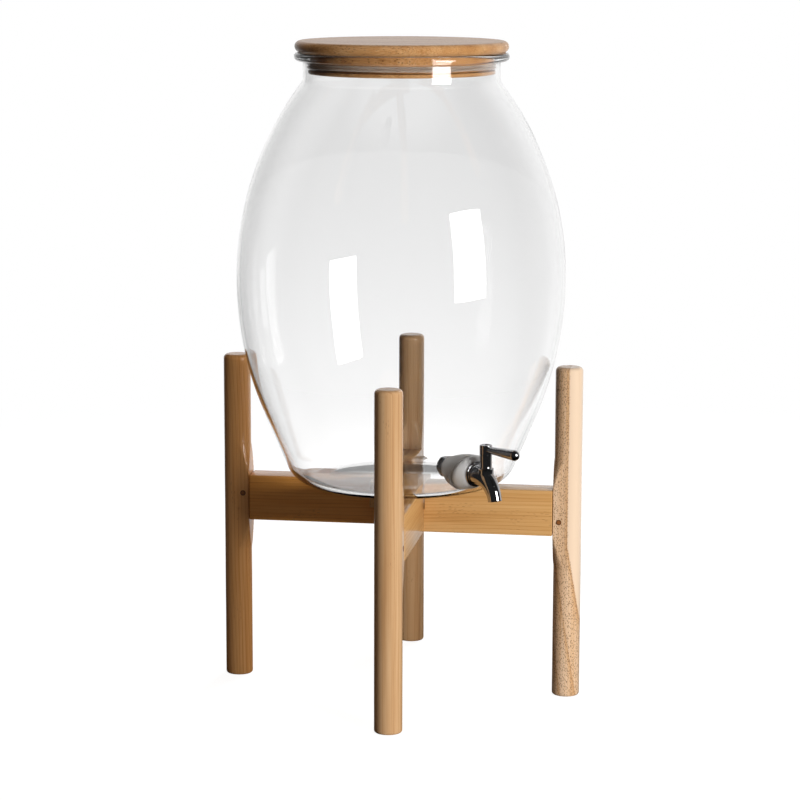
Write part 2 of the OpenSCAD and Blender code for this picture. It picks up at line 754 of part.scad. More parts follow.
// Hexagon nut with its outer corners turned round
module lock_nut() {
    corner_d = nut_w / cos(30);
    bevel = (corner_d - nut_w) / 2;
    color("gainsboro") at_tap() lying([nut_x, 0, 0])
        difference() {
            intersection() {
                rotate([0, 0, 30]) cylinder(d = corner_d, h = nut_t, $fn = 6);
                union() {
                    cylinder(d1 = nut_w, d2 = corner_d, h = bevel);
                    translate([0, 0, bevel]) cylinder(d = corner_d, h = nut_t);
                }
            }
            translate([0, 0, -over]) cylinder(d = shank_d + 2 * nut_gap, h = nut_t + 2 * over);
        }
}

front_post();
rear_post();
left_post();
right_post();
front_arm();
rear_arm();
left_arm();
right_arm();
tenon_pins();
lap_screws();
glass_jar();
lid();
lid_seal();
tap_body();
bonnet_nut();
valve_plug();
valve_rings();
tap_lever();
lever_screw();
outer_gasket();
inner_gasket();
nut_washer();
lock_nut();
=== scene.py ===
"""Looks of a glass drink dispenser: an egg-shaped jar with a bamboo lid and a lever tap in a beech stand."""

import logging
import math
from collections.abc import Callable, Sequence
from dataclasses import dataclass, field
from enum import Enum

import bmesh
import bpy
from mathutils import Matrix, Vector


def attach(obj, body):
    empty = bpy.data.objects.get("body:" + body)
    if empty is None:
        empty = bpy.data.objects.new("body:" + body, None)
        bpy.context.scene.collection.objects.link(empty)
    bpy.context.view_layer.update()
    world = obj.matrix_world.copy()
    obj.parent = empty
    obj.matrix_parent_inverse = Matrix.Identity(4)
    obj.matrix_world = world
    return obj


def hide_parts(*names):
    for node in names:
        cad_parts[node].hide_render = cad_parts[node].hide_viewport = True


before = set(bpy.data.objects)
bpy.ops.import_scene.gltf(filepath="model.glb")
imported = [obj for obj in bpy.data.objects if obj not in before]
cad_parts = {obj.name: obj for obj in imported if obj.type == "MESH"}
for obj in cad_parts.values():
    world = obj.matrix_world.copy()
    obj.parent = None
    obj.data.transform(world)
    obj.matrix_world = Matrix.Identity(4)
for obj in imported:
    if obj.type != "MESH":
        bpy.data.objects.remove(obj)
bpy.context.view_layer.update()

MM = 0.001
NOTHING = 0.0001 * MM
LOG = logging.getLogger("dispenser")
SHADED = bpy.data.collections.new("shaded_wood")

Point = tuple[float, float]
Triple = tuple[float, float, float]
Colour = tuple[float, float, float, float]

WHITE: Colour = (1.0, 1.0, 1.0, 1.0)
BLACK: Colour = (0.0, 0.0, 0.0, 1.0)


class Body(Enum):
    """The parts of the dispenser that move apart from each other."""

    STAND = "stand"
    JAR = "jar"
    LID = "lid"
    LEVER = "lever"


class Side(Enum):
    """The four sides of the stand, each with the angle that its arm points at."""

    FRONT = -90.0
    REAR = 90.0
    LEFT = 180.0
    RIGHT = 0.0

    @property
    def upper(self) -> bool:
        """Whether this side's arm is an upper one of the cross lap."""
        return self in (Side.FRONT, Side.REAR)

    @property
    def label(self) -> str:
        """The side's name in the names of its pieces."""
        return self.name.lower()


class Grain(Enum):
    """The way that a piece of wood's fibres run, as the turn that brings them upright."""

    UPRIGHT = (0.0, 0.0, 0.0)
    ALONG_X = (0.0, -math.pi / 2, 0.0)
    ALONG_Y = (math.pi / 2, 0.0, 0.0)


class Duty(Enum):
    """What a soft box is for: lighting the surfaces, or showing in their gloss."""

    LIGHT = "light"
    MIRROR = "mirror"


class Join(Enum):
    """How two closed shapes become one."""

    UNION = "UNION"
    CUT = "DIFFERENCE"


def tint(red: float, green: float, blue: float) -> Colour:
    """Turns a colour as a picture gives it into the one that a shader takes.

    Args:
        red: red, from 0 to 255.
        green: green, from 0 to 255.
        blue: blue, from 0 to 255.

    Returns:
        The linear colour with full alpha.
    """
    shares = (red / 255, green / 255, blue / 255)
    linear = [s / 12.92 if s <= 0.04045 else ((s + 0.055) / 1.055) ** 2.4 for s in shares]
    return (linear[0], linear[1], linear[2], 1.0)


def math_operator(operation: str, flipped: bool = False) -> Callable[..., "Signal"]:
    """An operator of signals, which adds one Math node.

    Args:
        operation: the name of the node's operation.
        flipped: whether the signal stands to the right of the operator.

    Returns:
        The method for the operator.
    """

    def method(signal: "Signal", *others: "Signal | float") -> "Signal":
        """Adds the node."""
        values = (*others, signal) if flipped else (signal, *others)
        return signal.graph.node("ShaderNodeMath", dict(enumerate(values)), operation=operation)

    return method


class Signal:
    """A node's output, which Python's operators turn into further Math nodes."""

    def __init__(self, graph: "Graph", node: bpy.types.Node, socket: bpy.types.NodeSocket | None) -> None:
        """Keeps what an output belongs to.

        Args:
            graph: the graph that the node is in.
            node: the node.
            socket: its output.
        """
        self.graph = graph
        self.node = node
        self.socket = socket

    # Each of these adds one Math node.
    __add__ = math_operator("ADD")
    __radd__ = math_operator("ADD", flipped=True)
    __sub__ = math_operator("SUBTRACT")
    __rsub__ = math_operator("SUBTRACT", flipped=True)
    __mul__ = math_operator("MULTIPLY")
    __rmul__ = math_operator("MULTIPLY", flipped=True)
    __truediv__ = math_operator("DIVIDE")
    __rtruediv__ = math_operator("DIVIDE", flipped=True)
    __pow__ = math_operator("POWER")
    __mod__ = math_operator("FLOORED_MODULO")
    __gt__ = math_operator("GREATER_THAN")
    __lt__ = math_operator("LESS_THAN")
    __abs__ = math_operator("ABSOLUTE")
    __floor__ = math_operator("FLOOR")
    sine = math_operator("SINE")
    cosine = math_operator("COSINE")
    root = math_operator("SQRT")
    least = math_operator("MINIMUM")
    most = math_operator("MAXIMUM")

    def part(self, name: str) -> "Signal":
        """Another output of the same node, by its name."""
        return Signal(self.graph, self.node, self.node.outputs[name])

    def eased(self, low: float, high: float) -> "Signal":
        """Rises smoothly from 0 at low to 1 at high.

        Args:
            low: the value that gives 0.
            high: the value that gives 1, and which may be the lower one.

        Returns:
            The eased share.
        """
        inputs = {"Value": self, "From Min": low, "From Max": high}
        return self.graph.node("ShaderNodeMapRange", inputs, interpolation_type="SMOOTHSTEP")


class Graph:
    """A node tree, filled from Python."""

    def __init__(self, tree: bpy.types.NodeTree) -> None:
        """Takes over an emptied tree."""
        self.tree = tree
        tree.nodes.clear()

    @classmethod
    def of_material(cls, name: str) -> tuple[bpy.types.Material, "Graph"]:
        """Makes a material.

        Args:
            name: the material's name.

        Returns:
            The material and its emptied graph.
        """
        made = bpy.data.materials.new(name)
        made.use_nodes = True
        return made, cls(made.node_tree)

    def node(self, kind: str, inputs: dict[str | int, object] | None = None, **settings: object) -> Signal:
        """Adds one node of any kind.

        Args:
            kind: the node's type.
            inputs: what each socket takes, by its name or number: a signal, a number or another value.
            settings: the node's own settings, set first; "stops" are the places and colours of a ramp.

        Returns:
            The node's first output in use.
        """
        made = self.tree.nodes.new(kind)
        for name, value in settings.items():
            if name == "stops":
                self._set_stops(made.color_ramp, value)
            else:
                setattr(made, name, value)
        for key, value in (inputs or {}).items():
            socket = self._input(made, key)
            if isinstance(value, Signal):
                self.tree.links.new(value.socket, socket)
            else:
                socket.default_value = value
        return Signal(self, made, next((s for s in made.outputs if s.enabled), None))

    @staticmethod
    def _input(node: bpy.types.Node, key: str | int) -> bpy.types.NodeSocket:
        """Finds a socket.

        Args:
            node: the node.
            key: the name of a socket in use, or the number of any socket.

        Returns:
            The socket.
        """
        if isinstance(key, int):
            return node.inputs[key]
        return next(s for s in node.inputs if s.name == key and s.enabled)

    @staticmethod
    def _set_stops(ramp: bpy.types.ColorRamp, stops: Sequence[tuple[float, Colour]]) -> None:
        """Sets the places and colours of a ramp.

        Args:
            ramp: the ramp, which starts with two stops.
            stops: the place and colour of each stop, in order.
        """
        while len(ramp.elements) < len(stops):
            ramp.elements.new(1.0)
        for element, (place, colour) in zip(ramp.elements, stops):
            element.position = place
            element.color = colour

    def mixed(self, first: "Signal | Colour", second: "Signal | Colour", share: Signal) -> Signal:
        """Mixes two colours.

        Args:
            first: the colour at a share of 0.
            second: the colour at a share of 1.
            share: how much of the second colour.

        Returns:
            The mixed colour.
        """
        return self.node("ShaderNodeMix", {"Factor": share, "A": first, "B": second}, data_type="RGBA")

    def ramp(self, share: Signal, *stops: tuple[float, Colour]) -> Signal:
        """A colour ramp over a share from 0 to 1."""
        return self.node("ShaderNodeValToRGB", {"Fac": share}, stops=stops)

    def placed(self, turn: Sequence[float] = (0, 0, 0)) -> Signal:
        """Object coordinates in metres, turned about the axes."""
        place = self.node("ShaderNodeTexCoord").part("Object")
        return self.node("ShaderNodeMapping", {"Vector": place, "Rotation": turn})

    def stretched(self, place: Signal, scale: Sequence[float]) -> Signal:
        """Coordinates multiplied along each axis."""
        return self.node("ShaderNodeVectorMath", {0: place, 1: scale}, operation="MULTIPLY")

    def added(self, place: Signal, other: "Signal | Sequence[float]") -> Signal:
        """The sum of two vectors."""
        return self.node("ShaderNodeVectorMath", {0: place, 1: other}, operation="ADD")

    def split(self, place: Signal) -> tuple[Signal, Signal, Signal]:
        """The three numbers of a vector."""
        whole = self.node("ShaderNodeSeparateXYZ", {0: place})
        return whole.part("X"), whole.part("Y"), whole.part("Z")

    def vector(self, x: "Signal | float", y: "Signal | float", z: "Signal | float") -> Signal:
        """A vector of three numbers."""
        return self.node("ShaderNodeCombineXYZ", {0: x, 1: y, 2: z})

    def noise(self, place: Signal, scale: Triple, detail: float = 2.0, rough: float = 0.5) -> Signal:
        """Smooth noise from 0 to 1.

        Args:
            place: where it is read.
            scale: how many features go to a unit along each axis.
            detail: how many finer layers are added.
            rough: how strong the finer layers are.

        Returns:
            The noise.
        """
        layers = {"Scale": 1.0, "Detail": detail, "Roughness": rough}
        return self.node("ShaderNodeTexNoise", {"Vector": self.stretched(place, scale), **layers})

    def cells(self, place: Signal, scale: Triple) -> Signal:
        """Distance to the nearest of scattered points, by how many go to a unit along each axis."""
        return self.node("ShaderNodeTexVoronoi", {"Vector": self.stretched(place, scale), "Scale": 1.0})

    def bump(self, height: Signal, depth: float, strength: float = 1.0) -> Signal:
        """A normal that is tilted by a height.

        Args:
            height: the height, from 0 to 1.
            depth: what a height of 1 stands for, in metres.
            strength: the share of the tilt that is used.

        Returns:
            The normal.
        """
        return self.node("ShaderNodeBump", {"Height": height, "Distance": depth, "Strength": strength})


class ShapeTree:
    """A Geometry Nodes tree with named sizes, which makes plain meshes."""

    def __init__(self, name: str) -> None:
        """Starts an empty tree with a geometry output.

        Args:
            name: the tree's name.
        """
        self.tree = bpy.data.node_groups.new(name, "GeometryNodeTree")
        self.graph = Graph(self.tree)
        self.tree.interface.new_socket("Geometry", in_out="OUTPUT", socket_type="NodeSocketGeometry")
        self.sockets: dict[str, str] = {}

    def size(self, name: str, kind: str = "NodeSocketFloat") -> Signal:
        """Adds a named input.

        Args:
            name: the input's name.
            kind: the socket's type.

        Returns:
            The input as a signal.
        """
        made = self.tree.interface.new_socket(name, in_out="INPUT", socket_type=kind)
        self.sockets[name] = made.identifier
        return self.graph.node("NodeGroupInput").part(name)

    def sizes(self, *names: str) -> list[Signal]:
        """Adds named inputs that are numbers."""
        return [self.size(name) for name in names]

    def moved(self, geometry: Signal, position: Signal) -> Signal:
        """Puts each point of a geometry where a signal says."""
        return self.graph.node("GeometryNodeSetPosition", {"Geometry": geometry, "Position": position})

    def end(self, geometry: Signal) -> None:
        """Closes the tree: realizes instances, sets the material and gives the result.

        Args:
            geometry: the geometry to give.
        """
        real = self.graph.node("GeometryNodeRealizeInstances", {"Geometry": geometry})
        finish = self.size("Finish", "NodeSocketMaterial")
        done = self.graph.node("GeometryNodeSetMaterial", {"Geometry": real, "Material": finish})
        self.graph.node("NodeGroupOutput", {"Geometry": done})

    def mesh(self, name: str, sizes: dict[str, object], finish: "Finish") -> bpy.types.Mesh:
        """Runs the tree.

        Args:
            name: the mesh's name.
            sizes: the value of each named input.
            finish: the finish that the tree sets.

        Returns:
            The result as a plain mesh.
        """
        blank = linked(name, bpy.data.meshes.new(name))
        change = blank.modifiers.new(name, "NODES")
        change.node_group = self.tree
        for label, value in {**sizes, "Finish": finish.material()}.items():
            change[self.sockets[label]] = value
        solid = Solid.of(evaluated_mesh(blank, name)).facing_out()
        bpy.data.objects.remove(blank)
        return solid.mesh(name)


def linked(name: str, data: bpy.types.ID) -> bpy.types.Object:
    """Makes an object of a mesh, lamp or camera, and puts it into the scene.

    Args:
        name: the object's name.
        data: what it shows.

    Returns:
        The object.
    """
    thing = bpy.data.objects.new(name, data)
    bpy.context.scene.collection.objects.link(thing)
    return thing


def evaluated_mesh(thing: bpy.types.Object, name: str) -> bpy.types.Mesh:
    """A plain mesh of an object with its modifiers applied.

    Args:
        thing: the object.
        name: the new mesh's name.

    Returns:
        The mesh.
    """
    ready = thing.evaluated_get(bpy.context.evaluated_depsgraph_get())
    made = bpy.data.meshes.new_from_object(ready)
    made.name = name
    return made


def around(sides: int) -> list[float]:
    """The angles of a full turn in even steps."""
    return [2 * math.pi * side / sides for side in range(sides)]


def arc(centre: Point, radius: float, start: float, end: float, steps: int) -> list[Point]:
    """Points of an arc in a flat outline.

    Args:
        centre: the arc's centre.
        radius: its radius.
        start: the angle of the first point, in degrees.
        end: the angle of the last point, in degrees.
        steps: the number of steps between them.

    Returns:
        The points, both ends among them.
    """
    turns = [math.radians(start + (end - start) * step / steps) for step in range(steps + 1)]
    return [(centre[0] + radius * math.cos(t), centre[1] + radius * math.sin(t)) for t in turns]


class Solid:
    """A closed shape under construction."""

    def __init__(self, shape: bmesh.types.BMesh) -> None:
        """Takes over a shape."""
        self.shape = shape

    @classmethod
    def of(cls, mesh: bpy.types.Mesh) -> "Solid":
        """Starts from a finished mesh.

        Args:
            mesh: the mesh.

        Returns:
            The solid.
        """
        shape = bmesh.new()
        shape.from_mesh(mesh)
        return cls(shape)

    @classmethod
    def loft(cls, rings: Sequence[Sequence[Vector]], looped: bool = False) -> "Solid":
        """Skins a row of rings.

        Args:
            rings: the points of each ring, all of one number, or a single point where the shape closes.
            looped: whether the last ring joins the first; else ends of more points get a flat cap.

        Returns:
            The solid.
        """
        shape = bmesh.new()
        rows = [[shape.verts.new(point) for point in ring] for ring in rings]
        pairs = list(zip(rows, rows[1:]))
        if looped:
            pairs.append((rows[-1], rows[0]))
        for low, high in pairs:
            count = max(len(low), len(high))
            for step in range(count):
                after = (step + 1) % count
                near = [low[step % len(low)], low[after % len(low)]]
                far = [high[after % len(high)], high[step % len(high)]]
                shape.faces.new(list(dict.fromkeys(near + far)))
        if not looped:
            for row in (rows[0], rows[-1]):
                if len(row) > 2:
                    shape.faces.new(row)
        return cls(shape).facing_out()

    @classmethod
    def lathe(cls, outline: Sequence[Point], steps: int, looped: bool = False) -> "Solid":
        """Turns an outline about the Z axis.

        Args:
            outline: radius and height of each point.
            steps: the number of steps round the axis.
            looped: whether the outline is closed and stays clear of the axis.

        Returns:
            The solid.
        """
        rings = []
        for radius, z in outline:
            turns = around(steps) if radius > NOTHING else [0.0]
            rings.append([Vector((radius * math.cos(t), radius * math.sin(t), z)) for t in turns])
        return cls.loft(rings, looped)

    @classmethod
    def rod(cls, radius: float, low: float, high: float, steps: int) -> "Solid":
        """An upright rod about the Z axis."""
        return cls.lathe([(0, low), (radius, low), (radius, high), (0, high)], steps)

    @classmethod
    def prism(cls, outline: Sequence[Point], near: float, far: float) -> "Solid":
        """A flat outline in x and z, drawn out along y.

        Args:
            outline: the x and z of each corner.
            near: the y of one face.
            far: the y of the other face.

        Returns:
            The solid.
        """
        return cls.loft([[Vector((x, y, z)) for x, z in outline] for y in (near, far)])

    def facing_out(self) -> "Solid":
        """Turns the faces so that they point outwards.

        Returns:
            This solid.
        """
        bmesh.ops.recalc_face_normals(self.shape, faces=self.shape.faces)
        if self.shape.calc_volume(signed=True) < 0:
            bmesh.ops.reverse_faces(self.shape, faces=self.shape.faces)
        return self

    def placed(self, place: Matrix) -> "Solid":
        """Moves and turns the shape."""
        self.shape.transform(place)
        return self

    def bevelled(self, width: float, segments: int, least: float = 30.0) -> "Solid":
        """Rounds the edges.

        Args:
            width: the width of the rounding.
            segments: the number of steps in it.
            least: the angle between two faces, in degrees, from which their edge is rounded.

        Returns:
            This solid.
        """
        limit = math.radians(least)
        edges = [edge for edge in self.shape.edges if edge.calc_face_angle(0.0) > limit]
        rounding = {"offset": width, "segments": segments, "profile": 0.5, "clamp_overlap": True}
        bmesh.ops.bevel(self.shape, geom=edges, affect="EDGES", **rounding)
        return self

    def joined(self, other: "Solid", how: Join = Join.UNION) -> "Solid":
        """Joins another shape to this one, or cuts it away.

        Args:
            other: the other shape, used up by this.
            how: union or cut.

        Returns:
            The new solid.
        """
        base = linked("base", self.mesh("base"))
        tool = linked("tool", other.mesh("tool"))
        change = base.modifiers.new("join", "BOOLEAN")
        change.operation = how.value
        change.object = tool
        change.solver = "EXACT"
        made = Solid.of(evaluated_mesh(base, "joined"))
        for thing in (base, tool):
            bpy.data.objects.remove(thing)
        return made

    def mesh(self, name: str, sharp: float = 40.0) -> bpy.types.Mesh:
        """Ends the construction.

        Args:
            name: the mesh's name.
            sharp: the angle between two faces, in degrees, from which their edge stays sharp.

        Returns:
            The smooth-shaded mesh.
        """
        made = bpy.data.meshes.new(name)
        self.shape.to_mesh(made)
        self.shape.free()
        made.shade_smooth()
        made.set_sharp_from_angle(angle=math.radians(sharp))
        return made


@dataclass(frozen=True)
class Finish:
    """A procedural material and the slot of the record that it stands for."""

    name: str
    slot: str

    def material(self) -> bpy.types.Material:
        """Makes the material, or finds it where it is made already.

        Returns:
            The material.
        """
        found = bpy.data.materials.get(self.name)
        if found:
            return found
        made, graph = Graph.of_material(self.name)
        shader = graph.node("ShaderNodeBsdfPrincipled", self.surface(graph))
        graph.node("ShaderNodeOutputMaterial", {"Surface": shader})
        return made

    def surface(self, graph: Graph) -> dict[str, object]:
        """What each socket of the surface shader takes.

        Args:
            graph: the material's graph.

        Returns:
            The values and signals, by the socket's name.
        """
        raise NotImplementedError


@dataclass(frozen=True)
class Wood(Finish):
    """A varnished wood, which the bright cards leave without glare."""


@dataclass(frozen=True)
class Beech(Wood):
    """Varnished beech: growth rings about a far pith, fine streaks and short dark flecks along the grain."""

    grain: Grain
    pale: Colour
    warm: Colour
    deep: Colour
    fleck: Colour = tint(96, 54, 22)
    pith: Point = (38 * MM, 21 * MM)
    ring: float = 3.4 * MM
    lean: float = 0.035
    wander: float = 9 * MM
    flecks: float = 0.3
    fleck_cell: Point = (1.3 * MM, 5.9 * MM)
    fleck_depth: float = 0.35
    fleck_wide: float = 0.34
    plain_from: float = 9.0
    upright_from: float = 9.0
    shift: float = 0.0
    sway_scale: Triple = (18, 18, 5)
    streak_scale: Triple = (700, 700, 9)
    broad_scale: Triple = (90, 90, 5)
    thin_scale: Triple = (60, 60, 25)
    plain_edge: float = 0.8 * MM
    relief: float = 0.10 * MM

    def surface(self, graph: Graph) -> dict[str, object]:
        """Wood colour, sheen and relief, with the grain upright in its own coordinates.

        Args:
            graph: the material's graph.

        Returns:
            The values and signals, by the socket's name.
        """
        place = graph.placed(self.grain.value)
        moved = graph.added(place, (0, 0, self.shift))
        sway = graph.noise(moved, self.sway_scale) - 0.5
        x, y, z = graph.split(place)
        slant = x + z.least(self.upright_from) * self.lean
        across = slant + sway * self.wander - self.pith[0]
        beside = y + sway * (self.wander * 0.55) - self.pith[1]
        year = (across * across + beside * beside).root() / self.ring
        late = (year % 1.0) ** 7
        edge = self.plain_edge
        plain = (slant + sway * self.wander).eased(self.plain_from - edge, self.plain_from + edge)
        streak = graph.noise(moved, self.streak_scale, 3.0, 0.65)
        broad = graph.noise(moved, self.broad_scale)
        wide, tall = self.fleck_cell
        spots = graph.cells(moved, (1 / wide, 1 / wide, 1 / tall))
        thin = graph.noise(moved, self.thin_scale, 1.0)
        sparse = 0.68 - 0.4 * self.flecks
        area = thin.eased(sparse, sparse + 0.1) * (1 - plain)
        spot = spots.eased(self.fleck_wide, self.fleck_wide * 0.45) * area
        share = streak * 0.62 + broad * 0.5 + late * 0.30 - plain * 0.3 - 0.2
        wood = graph.ramp(share, (0.12, self.pale), (0.5, self.warm), (0.88, self.deep))
        colour = graph.mixed(wood, self.fleck, spot * self.fleck_depth)
        height = streak * 0.5 + late * 0.2 - spot * 0.5
        return {
            "Base Color": colour,
            "Roughness": 0.42 + streak * 0.16 + spot * 0.1,
            "Coat Weight": 0.7 - spot * 0.2,
            "Coat Roughness": 0.13,
            "Coat IOR": 1.5,
            "IOR": 1.45,
            "Normal": graph.bump(height, self.relief, 0.5),
        }


@dataclass(frozen=True)
class Dowel(Wood):
    """End grain of the joint pins, with pores and a dark ring of glue at the edge."""

    wood: Colour = tint(150, 92, 48)
    pore: Colour = tint(62, 34, 16)
    out: float = 148 * MM
    height: float = 163 * MM
    left_height: float = 175 * MM
    glue_from: float = 1.5 * MM
    glue_to: float = 2.3 * MM
    pore_scale: Triple = (1900, 1900, 1900)
    cloud_scale: Triple = (420, 420, 420)
    relief: float = 0.1 * MM

    def surface(self, graph: Graph) -> dict[str, object]:
        """Dark end grain with pores, inside a ring of glue about each pin's axis.

        Args:
            graph: the material's graph.

        Returns:
            The values and signals, by the socket's name.
        """
        place = graph.placed()
        pores = graph.cells(place, self.pore_scale).eased(0.42, 0.2)
        cloud = graph.noise(place, self.cloud_scale, 3.0)
        x, y, z = graph.split(place)
        across = abs(x).most(abs(y)) - self.out
        above = abs(z - self.height).least(abs(z - self.left_height))
        glue = (across * across + above * above).root().eased(self.glue_from, self.glue_to)
        dark = (pores * 0.5 + cloud * 0.3 + glue).least(1.0)
        return {
            "Base Color": graph.mixed(self.wood, self.pore, dark),
            "Roughness": 0.5 + pores * 0.2,
            "Coat Weight": 0.2 - pores * 0.1,
            "Normal": graph.bump(1 - pores, self.relief, 0.5),
        }


@dataclass(frozen=True)
class Bamboo(Wood):
    """Laminated bamboo: strips side by side, each with its own tone, fibres, vessel bundles and knots."""

    pale: Colour = tint(226, 184, 136)
    warm: Colour = tint(194, 142, 88)
    deep: Colour = tint(134, 80, 34)
    vessel: Colour = tint(88, 50, 20)
    strip: float = 6.5 * MM
    knot_run: float = 210 * MM
    lay: float = math.radians(12)
    fibre_scale: Triple = (14, 1050, 1050)
    cloud_scale: Triple = (9, 60, 60)
    bundle_scale: Triple = (260, 900, 900)
    patch_scale: Triple = (24, 160, 160)
    relief: float = 0.12 * MM

    def surface(self, graph: Graph) -> dict[str, object]:
        """Strips along x after a small turn.

        Args:
            graph: the material's graph.

        Returns:
            The values and signals, by the socket's name.
        """
        place = graph.placed((0, 0, self.lay))
        x, y, _ = graph.split(place)
        row = y / self.strip
        number = math.floor(row)
        own = graph.node("ShaderNodeTexWhiteNoise", {"W": number}, noise_dimensions="1D")
        fibre = graph.noise(place, self.fibre_scale, 3.0, 0.6)
        cloud = graph.noise(place, self.cloud_scale)
        bundles = graph.cells(place, self.bundle_scale).eased(0.36, 0.16)
        patch = graph.noise(place, self.patch_scale, 1.0).eased(0.42, 0.56)
        vessels = bundles * patch
        knot = (abs((x / self.knot_run + own * 3.7) % 1.0 - 0.5) * self.knot_run).eased(1.6 * MM, 0.3 * MM)
        seam = abs(row % 1.0 - 0.5).eased(0.47, 0.5)
        share = fibre * 0.85 + cloud * 0.5 + own * 0.1 - 0.25 + knot * 0.08
        wood = graph.ramp(share, (0.15, self.pale), (0.5, self.warm), (0.9, self.deep))
        colour = graph.mixed(wood, self.vessel, vessels * 0.7 + seam * 0.12)
        height = fibre * 0.4 - vessels * 0.6 - seam * 0.2 + knot * 0.15
        return {
            "Base Color": colour,
            "Roughness": 0.42 + fibre * 0.14 + vessels * 0.12,
            "Coat Weight": 0.35 - vessels * 0.15,
            "Coat Roughness": 0.15,
            "Normal": graph.bump(height, self.relief, 0.6),
        }


@dataclass(frozen=True)
class BlownGlass(Finish):
    """Clear blown glass with the faint waves of the mould."""

    body: Colour = (0.99, 0.99, 0.99, 1.0)
    refraction: float = 1.47
    wave_scale: Triple = (22, 22, 14)
    relief: float = 0.35 * MM

    def surface(self, graph: Graph) -> dict[str, object]:
        """Clear glass, slightly wavy.

        Args:
            graph: the material's graph.

        Returns:
            The values and signals, by the socket's name.
        """
        waves = graph.noise(graph.placed(), self.wave_scale, 1.0)
        return {
            "Base Color": self.body,
            "Roughness": waves * 0.012,
            "Transmission Weight": 1.0,
            "IOR": self.refraction,
            "Normal": graph.bump(waves, self.relief, 0.35),
        }


@dataclass(frozen=True)
class Silicone(Finish):
    """Milky silicone rubber, a little cloudy."""

    clear: Colour = tint(228, 231, 231)
    cloudy: Colour = tint(212, 214, 214)
    through: float = 0.12
    depth: float = 20 * MM
    cloud_scale: Triple = (140, 140, 140)
    fine_scale: Triple = (1600, 1600, 1600)
    relief: float = 0.03 * MM

    def surface(self, graph: Graph) -> dict[str, object]:
        """Part clear, part milky rubber.

        Args:
            graph: the material's graph.

        Returns:
            The values and signals, by the socket's name.
        """
        place = graph.placed()
        cloud = graph.noise(place, self.cloud_scale, 3.0)
        fine = graph.noise(place, self.fine_scale)
        return {
            "Base Color": graph.mixed(self.clear, self.cloudy, cloud),
            "Roughness": 0.26 + cloud * 0.12,
            "Transmission Weight": self.through,
            "Subsurface Weight": 1.0,
            "Subsurface Scale": self.depth,
            "Subsurface Radius": (1.0, 1.0, 1.0),
            "IOR": 1.41,
            "Normal": graph.bump(fine, self.relief, 0.4),
        }


@dataclass(frozen=True)
class Steel(Finish):
    """Stainless steel, with the handling marks that dull a polish."""

    bright: Colour = (0.48, 0.48, 0.49, 1.0)
    dull: Colour = (0.38, 0.38, 0.39, 1.0)
    polish: float = 0.05
    marks: float = 0.07
    lathe_lines: float = 0.0
    smear_scale: Triple = (260, 260, 120)
    line_scale: Triple = (500, 500, 5200)
    relief: float = 0.02 * MM

    def surface(self, graph: Graph) -> dict[str, object]:
        """Metal whose roughness follows faint smears and tool lines.

        Args:
            graph: the material's graph.

        Returns:
            The values and signals, by the socket's name.
        """
        place = graph.placed()
        smear = graph.noise(place, self.smear_scale, 3.0)
        fine = graph.noise(place, self.line_scale, 1.0)
        return {
            "Base Color": graph.mixed(self.bright, self.dull, smear),
            "Metallic": 1.0,
            "Roughness": self.polish + smear * self.marks + fine * self.lathe_lines,
            "Normal": graph.bump(smear + fine * self.lathe_lines, self.relief, 0.4),
        }


@dataclass(frozen=True)
class Rubber(Finish):
    """Black rubber of the valve's rings."""

    base: Colour = tint(34, 34, 35)
    bloom: Colour = tint(58, 58, 58)
    cloud_scale: Triple = (600, 600, 600)
    relief: float = 0.03 * MM

    def surface(self, graph: Graph) -> dict[str, object]:
        """Matt black with a pale bloom.

        Args:
            graph: the material's graph.

        Returns:
            The values and signals, by the socket's name.
        """
        cloud = graph.noise(graph.placed(), self.cloud_scale, 3.0)
        return {
            "Base Color": graph.mixed(self.base, self.bloom, cloud.eased(0.4, 0.8)),
            "Roughness": 0.55 + cloud * 0.2,
            "Normal": graph.bump(cloud, self.relief, 0.5),
        }


def show(name: str, mesh: bpy.types.Mesh, finish: Finish, body: Body, *nodes: str) -> bpy.types.Object:
    """Puts a finished mesh into the scene as a piece of the dispenser.

    Args:
        name: the piece's name.
        mesh: its mesh, in place.
        finish: its finish.
        body: the body that it moves with.
        nodes: the CAD nodes that it stands for.

    Returns:
        The piece.
    """
    piece = linked(name, mesh)
    mesh.materials.clear()
    mesh.materials.append(finish.material())
    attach(piece, body.value)
    if nodes:
        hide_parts(*nodes)
    if isinstance(finish, Wood):
        SHADED.objects.link(piece)
    LOG.info("%s: %d faces on the %s", name, len(mesh.polygons), body.value)
    return piece


def dress(node: str, finish: Finish) -> None:
    """Gives a CAD node that stays in view its finish.

    Args:
        node: the node's name.
        finish: the finish.
    """
    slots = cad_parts[node].data.materials
    slots.clear()
    slots.append(finish.material())
    LOG.info("%s: keeps its shape, in %s", node, finish.name)


